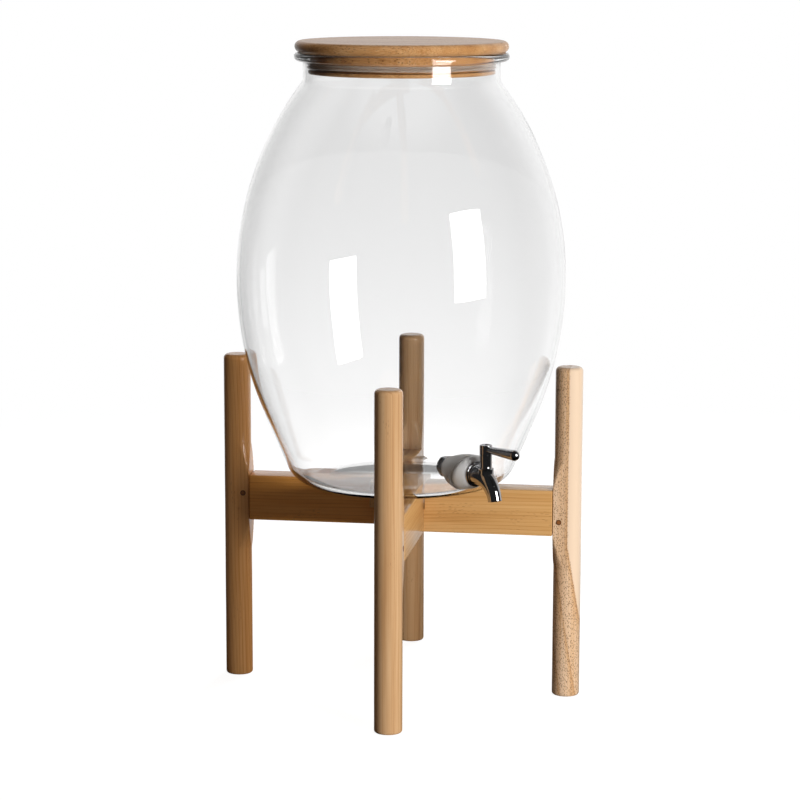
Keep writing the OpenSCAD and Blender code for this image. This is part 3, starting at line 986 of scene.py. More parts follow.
@dataclass
class Stand:
    """Four turned posts and a lapped cross of four arms, pinned together."""

    post_d: float = 25 * MM
    post_h: float = 304 * MM
    reach: float = 155 * MM
    top_round: float = 4 * MM
    foot_round: float = 2 * MM
    arm_w: float = 25 * MM
    arm_h: float = 42 * MM
    arm_z: float = 150 * MM
    lap_gap: float = 0.4 * MM
    lap_short: float = 4.5 * MM
    arm_edge: float = 0.9 * MM
    pad_proud: float = 0.2 * MM
    pad_inset: float = 0.3 * MM
    pad_run: float = 30 * MM
    shoulder_gap: float = 0.3 * MM
    tenon_w: float = 12 * MM
    tenon_h: float = 30 * MM
    tenon_l: float = 15 * MM
    tenon_edge: float = 0.5 * MM
    tenon_root: float = 2 * MM
    pin_d: float = 5 * MM
    pin_inset: float = 7 * MM
    pin_drop: float = 29 * MM
    left_pin_drop: float = 17 * MM
    pin_proud: float = 0.14 * MM
    pin_dome: float = 0.008
    hand_wear: float = 0.16 * MM
    wear_round: float = 0.4
    wear_rise: float = 14.0
    wear_scale: Triple = (2.2, 2.2, 2.2)
    round_steps: int = 9
    rows: int = 340
    sides: int = 96
    posts: dict[Side, Beech] = field(default_factory=dict)
    arms: dict[Side, Beech] = field(default_factory=dict)
    pins: Finish = Dowel("pin_end_grain", "pin_wood")
    screws: Finish = Steel("lap_screw_steel", "screw_steel", polish=0.25, marks=0.2, lathe_lines=0.1)

    @property
    def arm_top(self) -> float:
        """Height of the arms' top, where the jar stands."""
        return self.arm_z + self.arm_h

    @property
    def pad_face(self) -> float:
        """Distance of a post's flat side from its axis, towards its arm."""
        return self.post_d / 2 + self.pad_proud

    @property
    def pad_half(self) -> float:
        """Half of the width across a post's squared part."""
        return self.post_d / 2 - self.pad_inset

    def middle(self, side: Side) -> float:
        """How far an arm's middle line lies beside its axis."""
        return self.arm_w / 2 if side.upper else -self.arm_w / 2

    def build(self) -> None:
        """Builds the posts, the arms and the pins, and dresses the screws."""
        tree = self.post_tree()
        for side in Side:
            self.show_post(tree, side)
            self.show_arm(side)
        self.show_pins()
        dress("lap_screws", self.screws)

    def post_tree(self) -> ShapeTree:
        """A turned post whose inner half is square where its arm joins it.

        Returns:
            The tree, with the post's sizes as inputs.
        """
        tree = ShapeTree("turned_post")
        graph = tree.graph
        radius, height = tree.sizes("Radius", "Height")
        top_round, foot_round = tree.sizes("Top rounding", "Foot rounding")
        face, half, run = tree.sizes("Flat to axis", "Half width", "Run out")
        low, high, angle = tree.sizes("Arm foot", "Arm top", "Arm angle")
        wear, seed = tree.sizes("Hand wear", "Seed")
        centre = tree.size("Axis", "NodeSocketVector")

        index = graph.node("GeometryNodeInputIndex")
        line = graph.node("GeometryNodeCurvePrimitiveLine")
        corners = graph.node("GeometryNodeResampleCurve", {"Curve": line, "Count": 4})
        out = (index > 0.5) * (index < 2.5) * radius
        up = (index > 1.5) * height
        outline = tree.moved(corners, graph.vector(out, 0.0, up))
        rounding = (index > 1.5) * top_round + (index < 1.5) * foot_round
        rounded = {"Curve": outline, "Count": self.round_steps, "Radius": rounding}
        profile = graph.node("GeometryNodeFilletCurve", rounded, mode="POLY")
        mesh = {"Size X": 1.0, "Size Y": 1.0, "Vertices X": self.rows, "Vertices Y": self.sides + 1}
        sheet = graph.node("GeometryNodeMeshGrid", mesh)
        along, across, _ = graph.split(graph.node("GeometryNodeInputPosition"))
        asked = {"Curves": profile, "Factor": along + 0.5}
        spot = graph.node("GeometryNodeSampleCurve", asked, mode="FACTOR")
        round_r, _, z = graph.split(spot.part("Position"))
        turn = (across + 0.5) * (2 * math.pi)

        least = 0.01
        inner = turn.cosine() < 2 * least
        flat = (face / (0 - turn.cosine()).most(least)).least(half / abs(turn.sine()).most(least))
        below = (low - z).most(z - high).most(0.0) / run
        corner = (face * face + half * half).root()
        shoulder = half + (1 - below) * (corner - half)
        square = inner * flat.least(shoulder) * (below < 1.0)
        radial = round_r.most(square)
        swirl = (turn.cosine() * self.wear_round, turn.sine() * self.wear_round)
        waver = graph.noise(graph.vector(*swirl, z * self.wear_rise + seed), self.wear_scale)
        worn = radial - waver * wear * (round_r > MM)
        ax, ay, _ = graph.split(centre)
        place = graph.vector(ax + worn * (turn + angle).cosine(), ay + worn * (turn + angle).sine(), z)
        post = tree.moved(sheet.part("Mesh"), place)
        tree.end(graph.node("GeometryNodeMergeByDistance", {"Geometry": post, "Distance": 0.01 * MM}))
        return tree

    def show_post(self, tree: ShapeTree, side: Side) -> None:
        """Makes one post.

        Args:
            tree: the post's tree.
            side: the side that it stands on.
        """
        angle = math.radians(side.value)
        axis = Matrix.Rotation(angle, 3, "Z") @ Vector((self.reach, self.middle(side), 0))
        sizes = {
            "Radius": self.post_d / 2,
            "Height": self.post_h,
            "Top rounding": self.top_round,
            "Foot rounding": self.foot_round,
            "Flat to axis": self.pad_face,
            "Half width": self.pad_half,
            "Arm foot": self.arm_z,
            "Arm top": self.arm_top,
            "Run out": self.pad_run,
            "Arm angle": angle,
            "Axis": tuple(axis),
            "Hand wear": self.hand_wear,
            "Seed": 3.0 + angle,
        }
        finish = self.posts[side]
        name = f"turned_post_{side.label}"
        show(name, tree.mesh(name, sizes, finish), finish, Body.STAND, f"{side.label}_post")

    def show_arm(self, side: Side) -> None:
        """Makes one arm with its half lap and its tenon.

        Args:
            side: the side that it points to.
        """
        shoulder = self.reach - self.pad_face - self.shoulder_gap
        lap = self.arm_z + self.arm_h / 2
        lap_end = self.arm_w + self.lap_gap
        low = self.arm_z
        high = self.arm_top
        back = -self.arm_w if side.upper else self.lap_short - self.arm_w
        shoulders = [(shoulder, low), (shoulder, high)]
        if side.upper:
            outline = [(back, lap), (lap_end, lap), (lap_end, low), *shoulders, (back, high)]
        else:
            outline = [(back, low), *shoulders, (lap_end, high), (lap_end, lap), (back, lap)]
        mid = self.middle(side)
        near = mid - self.arm_w / 2
        bar = Solid.prism(outline, near, near + self.arm_w).bevelled(self.arm_edge, 3)
        tenon_foot = self.arm_z + (self.arm_h - self.tenon_h) / 2
        tenon_head = tenon_foot + self.tenon_h
        start = shoulder - self.tenon_root
        end = shoulder + self.tenon_l
        tenon_side = [(start, tenon_foot), (end, tenon_foot), (end, tenon_head), (start, tenon_head)]
        tenon = Solid.prism(tenon_side, mid - self.tenon_w / 2, mid + self.tenon_w / 2)
        tenon.bevelled(self.tenon_edge, 1)
        arm = bar.joined(tenon).placed(Matrix.Rotation(math.radians(side.value), 4, "Z"))
        name = f"lapped_arm_{side.label}"
        show(name, arm.mesh(name, sharp=55.0), self.arms[side], Body.STAND, f"{side.label}_arm")

    def show_pins(self) -> None:
        """Sets the four pins across the arm joints."""
        tree = ShapeTree("joint_pins")
        graph = tree.graph
        out, beside, height = tree.sizes("Distance out", "Distance beside", "Height")
        left_height, radius, length = tree.sizes("Height on the left", "Radius", "Length")

        index = graph.node("GeometryNodeInputIndex")
        angle = index * (math.pi / 2) - math.pi / 2
        side = (1 - (index % 2.0) * 2) * beside
        x = angle.cosine() * out - angle.sine() * side
        y = angle.sine() * out + angle.cosine() * side
        left = index > 2.5
        z = height + left * (left_height - height)
        points = graph.node("GeometryNodePoints", {"Count": 4, "Position": graph.vector(x, y, z)})
        sizes = {"Vertices": 28, "Side Segments": 6, "Fill Segments": 4, "Radius": radius, "Depth": length}
        rod = graph.node("GeometryNodeMeshCylinder", sizes, fill_type="TRIANGLE_FAN")
        px, py, pz = graph.split(graph.node("GeometryNodeInputPosition"))
        off_axis = (px * px + py * py) / (radius * radius)
        domed = graph.vector(px, py, pz * (1 - off_axis * self.pin_dome))
        turn = graph.node("FunctionNodeEulerToRotation", {0: graph.vector(math.pi / 2, 0.0, angle)})
        spread = {"Points": points, "Instance": tree.moved(rod, domed), "Rotation": turn}
        tree.end(graph.node("GeometryNodeInstanceOnPoints", spread))
        values = {
            "Distance out": self.reach - self.pin_inset,
            "Distance beside": self.arm_w / 2,
            "Height": self.arm_top - self.pin_drop,
            "Height on the left": self.arm_top - self.left_pin_drop,
            "Radius": self.pin_d / 2,
            "Length": 2 * (self.pad_half + self.pin_proud),
        }
        show("joint_pins", tree.mesh("joint_pins", values, self.pins), self.pins, Body.STAND, "tenon_pins")


@dataclass
class Jar:
    """The blown glass jar: foot, heel, sloping wall, belly, shoulder, neck and rolled lip."""

    foot_z: float
    width: float = 298 * MM
    belly_h: float = 188 * MM
    lower_r: float = 326 * MM
    upper_r: float = 290 * MM
    slope: float = 23.0
    heel_r: float = 27 * MM
    wall: float = 3.5 * MM
    floor: float = 6 * MM
    kick: float = 2 * MM
    foot_ring: float = 12 * MM
    neck_d: float = 177 * MM
    neck_h: float = 14.5 * MM
    shoulder_r: float = 9 * MM
    lip_d: float = 193 * MM
    lip_h: float = 7.8 * MM
    lip_inner: float = 1.6 * MM
    lip_fillet: float = 1 * MM
    floor_ease: float = 6 * MM
    hole_d: float = 14 * MM
    steps: int = 224
    hole_steps: int = 64
    glass: Finish = BlownGlass("blown_glass", "clear_glass")

    def __post_init__(self) -> None:
        """Works out the centres of the outline's arcs."""
        lean = math.radians(self.slope)
        radius = self.width / 2
        self.neck_in = self.neck_d / 2 - self.wall
        self.lower_c = (radius - self.lower_r, self.belly_h)
        self.upper_c = (radius - self.upper_r, self.belly_h)
        top_x = self.lower_c[0] + self.lower_r * math.cos(lean)
        top_z = self.belly_h - self.lower_r * math.sin(lean)
        self.slope_top = (top_x, top_z)
        line_x = top_x - self.heel_r * math.cos(lean)
        line_z = top_z + self.heel_r * math.sin(lean)
        self.heel_c = (line_x - (line_z - self.heel_r) * math.tan(lean), self.heel_r)
        shoulder_x = self.neck_d / 2 + self.shoulder_r
        run = shoulder_x - self.upper_c[0]
        rise = math.sqrt((self.upper_r + self.shoulder_r) ** 2 - run**2)
        self.shoulder_c = (shoulder_x, self.belly_h + rise)
        self.shoulder_a = math.degrees(math.atan2(rise, run))
        self.height = self.shoulder_c[1] + self.neck_h + self.lip_h

    def wall_x(self, height: float) -> float:
        """Outer radius of the sloping wall at a height above the foot."""
        return self.slope_top[0] - (self.slope_top[1] - height) * math.tan(math.radians(self.slope))

    def side(self, shift: float, start: float) -> list[Point]:
        """The wall from the heel to the neck, moved outwards.

        Args:
            shift: the move outwards.
            start: the angle on the heel's arc where it starts, in degrees.

        Returns:
            The points of the outline.
        """
        return (
            arc(self.heel_c, self.heel_r + shift, start, -self.slope, 16)
            + arc(self.lower_c, self.lower_r + shift, -self.slope, 0, 26)
            + arc(self.upper_c, self.upper_r + shift, 0, self.shoulder_a, 40)[1:]
            + arc(self.shoulder_c, self.shoulder_r - shift, self.shoulder_a + 180, 180, 10)[1:]
        )

    def outline(self) -> list[Point]:
        """The glass from the middle of the foot, round the outside and back down the inside.

        Returns:
            The points of the outline, with z from the foot.
        """
        inside_r = self.heel_r - self.wall
        floor_a = -math.degrees(math.asin((self.heel_r - self.floor) / inside_r))
        kick_r = self.heel_c[0] - self.foot_ring
        kick_arc = (kick_r**2 + self.kick**2) / (2 * self.kick)
        kick_a = math.degrees(math.asin(kick_r / kick_arc))
        bead = self.lip_h / 2
        bead_x = self.lip_d / 2 - bead
        inner_x = self.neck_in + self.lip_inner
        neck_top = self.height - self.lip_h
        neck_mid = (self.shoulder_c[1] + neck_top) / 2
        fillet = self.lip_fillet
        under_lip = arc((self.neck_d / 2 + fillet, neck_top - fillet), fillet, 180, 90, 4)
        floor_x = self.heel_c[0] + inside_r * math.cos(math.radians(floor_a))
        return (
            arc((0, self.kick - kick_arc), kick_arc, 90, 90 - kick_a, 12)
            + [(self.heel_c[0] - self.foot_ring / 2, 0.0)]
            + self.side(0, -90)
            + [(self.neck_d / 2, neck_mid)]
            + under_lip
            + arc((bead_x, self.height - bead), bead, -90, 90, 16)
            + arc((inner_x, self.height - self.lip_inner), self.lip_inner, 90, 180, 8)
            + [(self.neck_in, neck_mid)]
            + self.side(-self.wall, floor_a)[::-1]
            + [(floor_x - self.floor_ease, self.floor), (floor_x / 2, self.floor), (0, self.floor)]
        )

    def build(self, tap: Matrix) -> None:
        """Makes the jar with the hole for the tap.

        Args:
            tap: the tap's own axes, with x outwards.
        """
        body = Solid.lathe(self.outline(), self.steps).placed(Matrix.Translation((0, 0, self.foot_z)))
        drill = Solid.rod(self.hole_d / 2, 0, self.width / 2, self.hole_steps)
        drill.placed(tap @ Matrix.Translation((self.heel_c[0], 0, 0)) @ Matrix.Rotation(math.pi / 2, 4, "Y"))
        glass = body.joined(drill, Join.CUT)
        piece = show("blown_jar", glass.mesh("blown_jar", sharp=60.0), self.glass, Body.JAR, "glass_jar")
        piece.visible_shadow = False


@dataclass
class Lid:
    """The turned bamboo lid, with the seal ring in its groove."""

    foot_z: float
    neck_in: float
    width: float = 191.5 * MM
    thick: float = 10 * MM
    step_h: float = 8 * MM
    step_gap: float = 3 * MM
    groove_h: float = 7.5 * MM
    groove_depth: float = 5 * MM
    flange_h: float = 3.5 * MM
    flange_gap: float = 1.3 * MM
    flange_edge: float = 1.6 * MM
    seal_gap: float = 0.3 * MM
    seal_top: float = 0.2 * MM
    seal_foot: float = 1.8 * MM
    seal_hollow: float = 1.2 * MM
    corner: float = 0.5 * MM
    steps: int = 192
    wood: Finish = Bamboo("lid_bamboo", "bamboo")
    rubber: Finish = Silicone("seal_silicone", "silicone", tint(214, 190, 172), tint(196, 170, 150), 0.15)

    def build(self) -> None:
        """Makes the lid and its seal."""
        place = Matrix.Translation((0, 0, self.foot_z))
        edge = self.thick / 2
        rim_x = self.width / 2 - edge
        flange_x = self.neck_in - self.flange_gap
        groove_x = flange_x - self.groove_depth
        step_x = self.neck_in - self.step_gap
        groove_top = -self.step_h
        groove_foot = groove_top - self.groove_h
        foot = groove_foot - self.flange_h
        soft = self.corner
        outline = (
            [(0, foot), (flange_x * 0.5, foot)]
            + arc((flange_x - self.flange_edge, foot + self.flange_edge), self.flange_edge, -90, 0, 6)
            + arc((flange_x - soft, groove_foot - soft), soft, 0, 90, 3)
            + [(groove_x, groove_foot), (groove_x, groove_top)]
            + arc((step_x - soft, groove_top + soft), soft, -90, 0, 3)
            + [(step_x, 0), (rim_x, 0)]
            + arc((rim_x, edge), edge, -90, 90, 24)[1:]
            + [(rim_x * 0.66, self.thick), (rim_x * 0.33, self.thick), (0, self.thick)]
        )
        disc = Solid.lathe(outline, self.steps).placed(place)
        show("turned_lid", disc.mesh("turned_lid", sharp=50.0), self.wood, Body.LID, "lid")
        self.show_seal(place, groove_x, groove_foot, groove_top)

    def show_seal(self, place: Matrix, inner: float, low: float, high: float) -> None:
        """Makes the seal ring with its two round lips.

        Args:
            place: the lid's place.
            inner: the radius of the groove's floor.
            low: the height of the groove's foot.
            high: the height of the groove's top.
        """
        outer = self.neck_in - self.seal_gap
        foot = low + self.seal_foot
        head = high - self.seal_top
        lip = (head - foot) / 6
        hollow = outer - self.seal_hollow
        outline = (
            [(inner, foot)]
            + arc((outer - lip, foot + lip), lip, -90, 70, 10)
            + [(hollow, (foot + head) / 2)]
            + arc((outer - lip, head - lip), lip, -70, 90, 10)
            + [(inner, head)]
        )
        ring = Solid.lathe(outline, self.steps, looped=True).placed(place)
        show("lipped_seal", ring.mesh("lipped_seal", sharp=60.0), self.rubber, Body.LID, "lid_seal")


@dataclass
class Tap:
    """The lever tap: casting, gaskets, lock nut, valve and lever, along x outwards in its own axes."""

    jar: Jar
    azimuth: float = 42.5
    height: float = 26.5 * MM
    gasket_least: float = 4 * MM
    inner_l: float = 27 * MM
    shank_d: float = 12 * MM
    shank_end: float = 4 * MM
    water_d: float = 6 * MM
    water_l: float = 22 * MM
    water_edge: float = 0.4 * MM
    fit_gap: float = 0.05 * MM
    small_edge: float = 0.3 * MM
    overlap: float = 1 * MM
    flange_d: float = 23 * MM
    flange_t: float = 3 * MM
    flange_edge: float = 1 * MM
    flange_fillet: float = 0.9 * MM
    horn_d: float = 19 * MM
    spout_d: float = 12.4 * MM
    spout_lip: float = 0.5 * MM
    straight: float = 6 * MM
    bend_r: float = 24 * MM
    bend: float = 80.0
    bore_d: float = 7.5 * MM
    bore_step: float = 1.5 * MM
    neck_d: float = 11 * MM
    valve_reach: float = 15.5 * MM
    neck_h: float = 15.5 * MM
    neck_edge: float = 0.25 * MM
    neck_fillet: float = 1.8 * MM
    neck_rise: float = 2.6 * MM
    neck_root: float = 1.6 * MM
    neck_sunk: float = 3 * MM
    plug_bore: float = 8 * MM
    plug_floor: float = 5.4 * MM
    skirt_d: float = 9.5 * MM
    skirt_h: float = 3.3 * MM
    bonnet_h: float = 3.6 * MM
    hub_gap: float = 0.3 * MM
    hub_d: float = 11 * MM
    hub_h: float = 9 * MM
    hub_edge: float = 0.6 * MM
    lever_l: float = 42 * MM
    lever_root: float = 6 * MM
    lever_straight: float = 5 * MM
    lever_end: float = 9.4 * MM
    lever_rise: float = 2.0
    lever_z: float = 5 * MM
    square: float = 4.1 * MM
    screw_seat: float = 2.3 * MM
    screw_d: float = 7.1 * MM
    screw_hole: float = 2.5 * MM
    gasket_d: float = 35 * MM
    gasket_edge: float = 0.6 * MM
    gasket_nut: float = 20 * MM
    gasket_flange: float = 26 * MM
    gasket_bore: float = 12.2 * MM
    gasket_gap: float = 0.05 * MM
    washer_t: float = 1.2 * MM
    nut_w: float = 17 * MM
    nut_t: float = 7 * MM
    nut_chamfer: float = 0.6 * MM
    thread_depth: float = 0.55 * MM
    thread_pitch: float = 1.5 * MM
    thread_edge: float = 0.5 * MM
    thread_run: float = 0.6 * MM
    thread_from: float = 0.9 * MM
    thread_short: float = 1.6 * MM
    thread_sunk: float = 0.03 * MM
    steps: int = 72
    fine_steps: int = 96
    horn_steps: int = 64
    club_steps: int = 56
    drill_steps: int = 48
    hole_steps: int = 24
    polished: Finish = Steel("polished_tap_steel", "polished_steel")
    turned: Finish = Steel("turned_steel", "plain_steel", polish=0.16, marks=0.12, lathe_lines=0.08)
    dark: Finish = Steel(
        "dark_nut_steel", "plain_steel", polish=0.18, marks=0.15,
        bright=(0.10, 0.10, 0.11, 1.0), dull=(0.05, 0.05, 0.06, 1.0),
    )
    soft: Finish = Silicone("gasket_silicone", "silicone")
    rings: Finish = Rubber("valve_ring_rubber", "black_rubber")

    def __post_init__(self) -> None:
        """Works out the stations along the tap's axis."""
        self.wall_out = self.jar.wall_x(self.height)
        self.wall_in = self.wall_out - self.jar.wall / math.cos(math.radians(self.jar.slope))
        self.flange_x = self.jar.wall_x(self.height + self.flange_d / 2) + self.gasket_least
        self.valve_x = self.flange_x + self.valve_reach
        self.washer_x = self.wall_in - self.inner_l - self.washer_t
        self.nut_x = self.washer_x - self.nut_t
        self.shank_x = self.nut_x - self.shank_end
        self.horn_l = self.straight + self.bend_r * math.radians(self.bend)
        self.hub_z = self.neck_h + self.bonnet_h + self.hub_gap
        self.hub_top = self.hub_z + self.hub_h

    @property
    def axes(self) -> Matrix:
        """The tap's own axes: x outwards from the jar's axis, z up."""
        turn = Matrix.Rotation(math.radians(self.azimuth - 90), 4, "Z")
        return turn @ Matrix.Translation((0, 0, self.jar.foot_z + self.height))

    def lying(self, x: float) -> Matrix:
        """The place of a shape that is turned about z, laid along the tap's axis from x."""
        return Matrix.Translation((x, 0, 0)) @ Matrix.Rotation(math.pi / 2, 4, "Y")

    def upright(self) -> Matrix:
        """The place of a shape that stands on the valve's axis."""
        return Matrix.Translation((self.valve_x, 0, 0))

    def build(self) -> None:
        """Makes the casting, the lever and the gaskets, and dresses the rest."""
        casting = self.casting().mesh("tap_casting", sharp=32.0)
        show("tap_casting", casting, self.polished, Body.JAR, "tap_body")
        self.show_thread()
        lever = self.lever().mesh("club_lever", sharp=32.0)
        show("club_lever", lever, self.polished, Body.LEVER, "tap_lever")
        self.show_gaskets()
        show("hexagon_nut", self.nut().mesh("hexagon_nut", sharp=25.0), self.dark, Body.JAR, "lock_nut")
        dress("bonnet_nut", self.polished)
        dress("valve_rings", self.rings)
        for node in ("valve_plug", "lever_screw", "nut_washer"):
            dress(node, self.turned)

    def horn_ring(self, way: float, radius: float, sides: int) -> list[Vector]:
        """A ring across the horn.

        Args:
            way: the distance along the horn's middle line.
            radius: the ring's radius.
            sides: the number of its points.

        Returns:
            The points.
        """
        turn = max(way - self.straight, 0) / self.bend_r
        start = self.flange_x + min(way, self.straight)
        middle = Vector((start + self.bend_r * math.sin(turn), 0, -self.bend_r * (1 - math.cos(turn))))
        up = Vector((math.sin(turn), 0, math.cos(turn)))
        beside = Vector((0, 1, 0))
        return [middle + radius * (math.sin(a) * up + math.cos(a) * beside) for a in around(sides)]

    def horn(self) -> Solid:
        """The horn-shaped spout, hollow from its open end.

        Returns:
            The horn in the tap's axes.
        """
        sides = self.horn_steps
        steps = 48
        lip = self.spout_lip
        end = self.spout_d / 2
        bore = self.bore_d / 2
        rings = []
        for step in range(steps):
            share = step / steps
            ease = 3 * share**2 - 2 * share**3
            radius = (self.horn_d + (self.spout_d - self.horn_d) * ease) / 2
            rings.append(self.horn_ring(self.horn_l * share, radius, sides))
        mouth = [(lip, end), (lip * 0.3, end - lip * 0.3), (0, end - lip), (0, bore + lip)]
        inside = [(lip + step * self.bore_step, bore) for step in range(13)]
        rings += [self.horn_ring(self.horn_l - depth, radius, sides) for depth, radius in mouth + inside]
        return Solid.loft(rings)

    def casting(self) -> Solid:
        """The tap's one casting: shank, flange, horn and upright neck, bored for the valve.

        Returns:
            The casting in place.
        """
        core = self.shank_d / 2 - self.thread_depth
        full = self.shank_d / 2
        bore = self.water_d / 2
        edge = self.water_edge
        thread_end = self.washer_x + self.washer_t - self.shank_x
        length = self.flange_x - self.shank_x + self.overlap
        shank = Solid.lathe(
            [(0, self.water_l), (bore, self.water_l), (bore, edge), (bore + edge, 0)]
            + [(core - self.thread_edge, 0), (core, self.thread_edge), (core, thread_end)]
            + [(full, thread_end + self.thread_run), (full, length), (0, length)],
            self.steps,
        ).placed(self.lying(self.shank_x))
        rim = self.flange_d / 2
        edge = self.flange_edge
        fillet = self.flange_fillet
        root = (self.horn_d / 2 + fillet + self.small_edge, self.flange_t + fillet)
        flange = Solid.lathe(
            [(0, 0), (rim - self.small_edge, 0), (rim, self.small_edge)]
            + arc((rim - edge, self.flange_t - edge), edge, 0, 90, 6)
            + arc(root, fillet, -90, -170, 5)
            + [(0, self.flange_t + fillet + self.small_edge)],
            self.fine_steps,
        ).placed(self.lying(self.flange_x))
        neck = self.neck_d / 2
        edge = self.neck_edge
        fillet = self.neck_fillet
        wide = neck + self.neck_root
        seat = self.horn_d / 2 - self.neck_sunk
        chimney = Solid.lathe(
            [(0, 0), (wide, 0), (wide, seat)]
            + arc((neck + fillet, seat + self.neck_rise), fillet, -90, -180, 6)
            + [(neck, self.neck_h - edge), (neck - edge, self.neck_h), (0, self.neck_h)],
            self.steps,
        ).placed(self.upright())
        plug = self.plug_bore / 2
        skirt = self.skirt_d / 2 + self.fit_gap
        skirt_z = self.neck_h - self.skirt_h
        top = self.neck_h + 5 * self.overlap
        drill = Solid.lathe(
            [(0, -self.plug_floor), (plug, -self.plug_floor), (plug, skirt_z)]
            + [(skirt, skirt_z), (skirt, top), (0, top)],
            self.drill_steps,
        ).placed(self.upright())
        whole = self.horn().joined(flange).joined(shank).joined(chimney).joined(drill, Join.CUT)
        return whole.placed(self.axes)

    def show_thread(self) -> None:
        """Winds the thread round the shank's end."""
        tree = ShapeTree("shank_thread")
        graph = tree.graph
        radius, length, turns, ridge = tree.sizes("Core radius", "Length", "Turns", "Ridge")
        place, lie = (tree.size(name, "NodeSocketVector") for name in ("Place", "Lie"))

        wind = {"Rotations": turns, "Start Radius": radius, "End Radius": radius, "Height": length}
        helix = graph.node("GeometryNodeCurveSpiral", {"Resolution": 40, **wind})
        tooth = graph.node("GeometryNodeCurvePrimitiveCircle", {"Resolution": 6, "Radius": ridge})
        wound = {"Curve": helix, "Profile Curve": tooth, "Fill Caps": True}
        thread = graph.node("GeometryNodeCurveToMesh", wound)
        turn = graph.node("FunctionNodeEulerToRotation", {0: lie})
        laid = {"Geometry": thread, "Translation": place, "Rotation": turn}
        tree.end(graph.node("GeometryNodeTransform", laid))
        ridge_r = self.thread_depth * 0.9
        run = self.washer_x - self.shank_x - self.thread_short
        where = self.axes @ self.lying(self.shank_x + self.thread_from)
        values = {
            "Core radius": self.shank_d / 2 - ridge_r - self.thread_sunk,
            "Length": run,
            "Turns": run / self.thread_pitch,
            "Ridge": ridge_r,
            "Place": tuple(where.translation),
            "Lie": tuple(where.to_euler()),
        }
        show("shank_thread", tree.mesh("shank_thread", values, self.polished), self.polished, Body.JAR)

    def lever(self) -> Solid:
        """The lever: a hub, and a club-shaped handle with a round end.

        Returns:
            The lever in place.
        """
        hub = self.hub_d / 2
        edge = self.hub_edge
        foot = self.hub_z
        top = self.hub_top
        knob = Solid.lathe(
            [(0, foot), (hub - self.small_edge, foot), (hub, foot + self.small_edge)]
            + arc((hub - edge, top - edge), edge, 0, 90, 6)
            + [(0, top)],
            self.steps,
        )
        ball = self.lever_end / 2
        root = self.lever_root / 2
        start = self.lever_straight
        swell = math.degrees(math.atan2(ball - root, self.lever_l))
        club = Solid.lathe(
            [(0, 0), (root, 0), (root, start)]
            + [(root + (ball - root) * s / 8, start + (self.lever_l - start) * s / 8) for s in range(1, 8)]
            + arc((0, self.lever_l), ball, -swell, 90, 14),
            self.club_steps,
        ).placed(
            Matrix.Translation((0, 0, foot + self.lever_z))
            @ Matrix.Rotation(math.radians(90 - self.lever_rise), 4, "Y")
        )
        seat = top - self.screw_seat
        over = 2 * self.overlap
        recess = Solid.rod(self.screw_d / 2, seat, top + over, self.drill_steps)
        key = self.square / 2
        low = foot - over
        high = seat - self.hub_gap
        keyway = Solid.prism([(-key, low), (key, low), (key, high), (-key, high)], -key, key)
        bore = Solid.rod(self.screw_hole / 2, foot, seat + over, self.hole_steps)
        whole = knob.joined(club)
        for cut in (recess, keyway, bore):
            whole = whole.joined(cut, Join.CUT)
        return whole.placed(self.axes @ self.upright())

    def wall_ring(self, inside: bool, radius: float, sides: int) -> list[Vector]:
        """A ring of points on the glass round the tap's axis.

        Args:
            inside: whether it lies on the inner side of the glass.
            radius: the ring's radius, measured on the glass.
            sides: the number of its points.

        Returns:
            The points in the tap's axes.
        """
        lean = math.radians(self.jar.slope)
        base = self.wall_in - self.gasket_gap if inside else self.wall_out + self.gasket_gap
        points = []
        for angle in around(sides):
            y = radius * math.cos(angle)
            z = radius * math.sin(angle) * math.cos(lean)
            points.append(Vector((math.sqrt((base + z * math.tan(lean)) ** 2 - y**2), y, z)))
        return points

    @staticmethod
    def flat_ring(x: float, radius: float, sides: int) -> list[Vector]:
        """An upright ring about the tap's axis."""
        return [Vector((x, radius * math.cos(a), radius * math.sin(a))) for a in around(sides)]

    def show_gaskets(self) -> None:
        """Moulds the outer and the inner gasket between the glass and the steel."""
        sides = self.fine_steps
        bore = self.gasket_bore / 2
        rim = self.gasket_d / 2
        washer = self.washer_x + self.washer_t
        gaskets = (
            ("outer", False, self.flange_x, self.gasket_flange / 2, (-0.4 * MM, 0.6 * MM), 10, 0.06),
            ("inner", True, washer, self.gasket_nut / 2, (0.8 * MM, 0.8 * MM), 24, 0.12),
        )
        for label, inside, end, nose, edge, steps, bulge in gaskets:
            near = self.wall_ring(inside, rim, sides)
            far = self.flat_ring(end + edge[0], nose, sides)
            rings = [self.wall_ring(inside, reach, sides) for reach in (bore, rim - self.gasket_edge)]
            rings += self.swept(near, far, steps, bulge)
            rings += [self.flat_ring(end, reach, sides) for reach in (nose - edge[1], bore)]
            name = f"{label}_seal"
            moulded = Solid.loft(rings, looped=True).placed(self.axes).mesh(name, sharp=50.0)
            show(name, moulded, self.soft, Body.JAR, f"{label}_gasket")

    @staticmethod
    def swept(near: Sequence[Vector], far: Sequence[Vector], steps: int, bulge: float) -> list[list[Vector]]:
        """Rings between two rings, swollen outwards between them.

        Args:
            near: the first ring.
            far: the last ring.
            steps: the number of steps between them.
            bulge: the swelling halfway, as a share of the radius.

        Returns:
            The rings, both ends among them.
        """
        rings = []
        for step in range(steps + 1):
            share = step / steps
            swell = 1 + bulge * math.sin(math.pi * share**0.8)
            ring = [a.lerp(b, share) for a, b in zip(near, far)]
            rings.append([Vector((p.x, p.y * swell, p.z * swell)) for p in ring])
        return rings

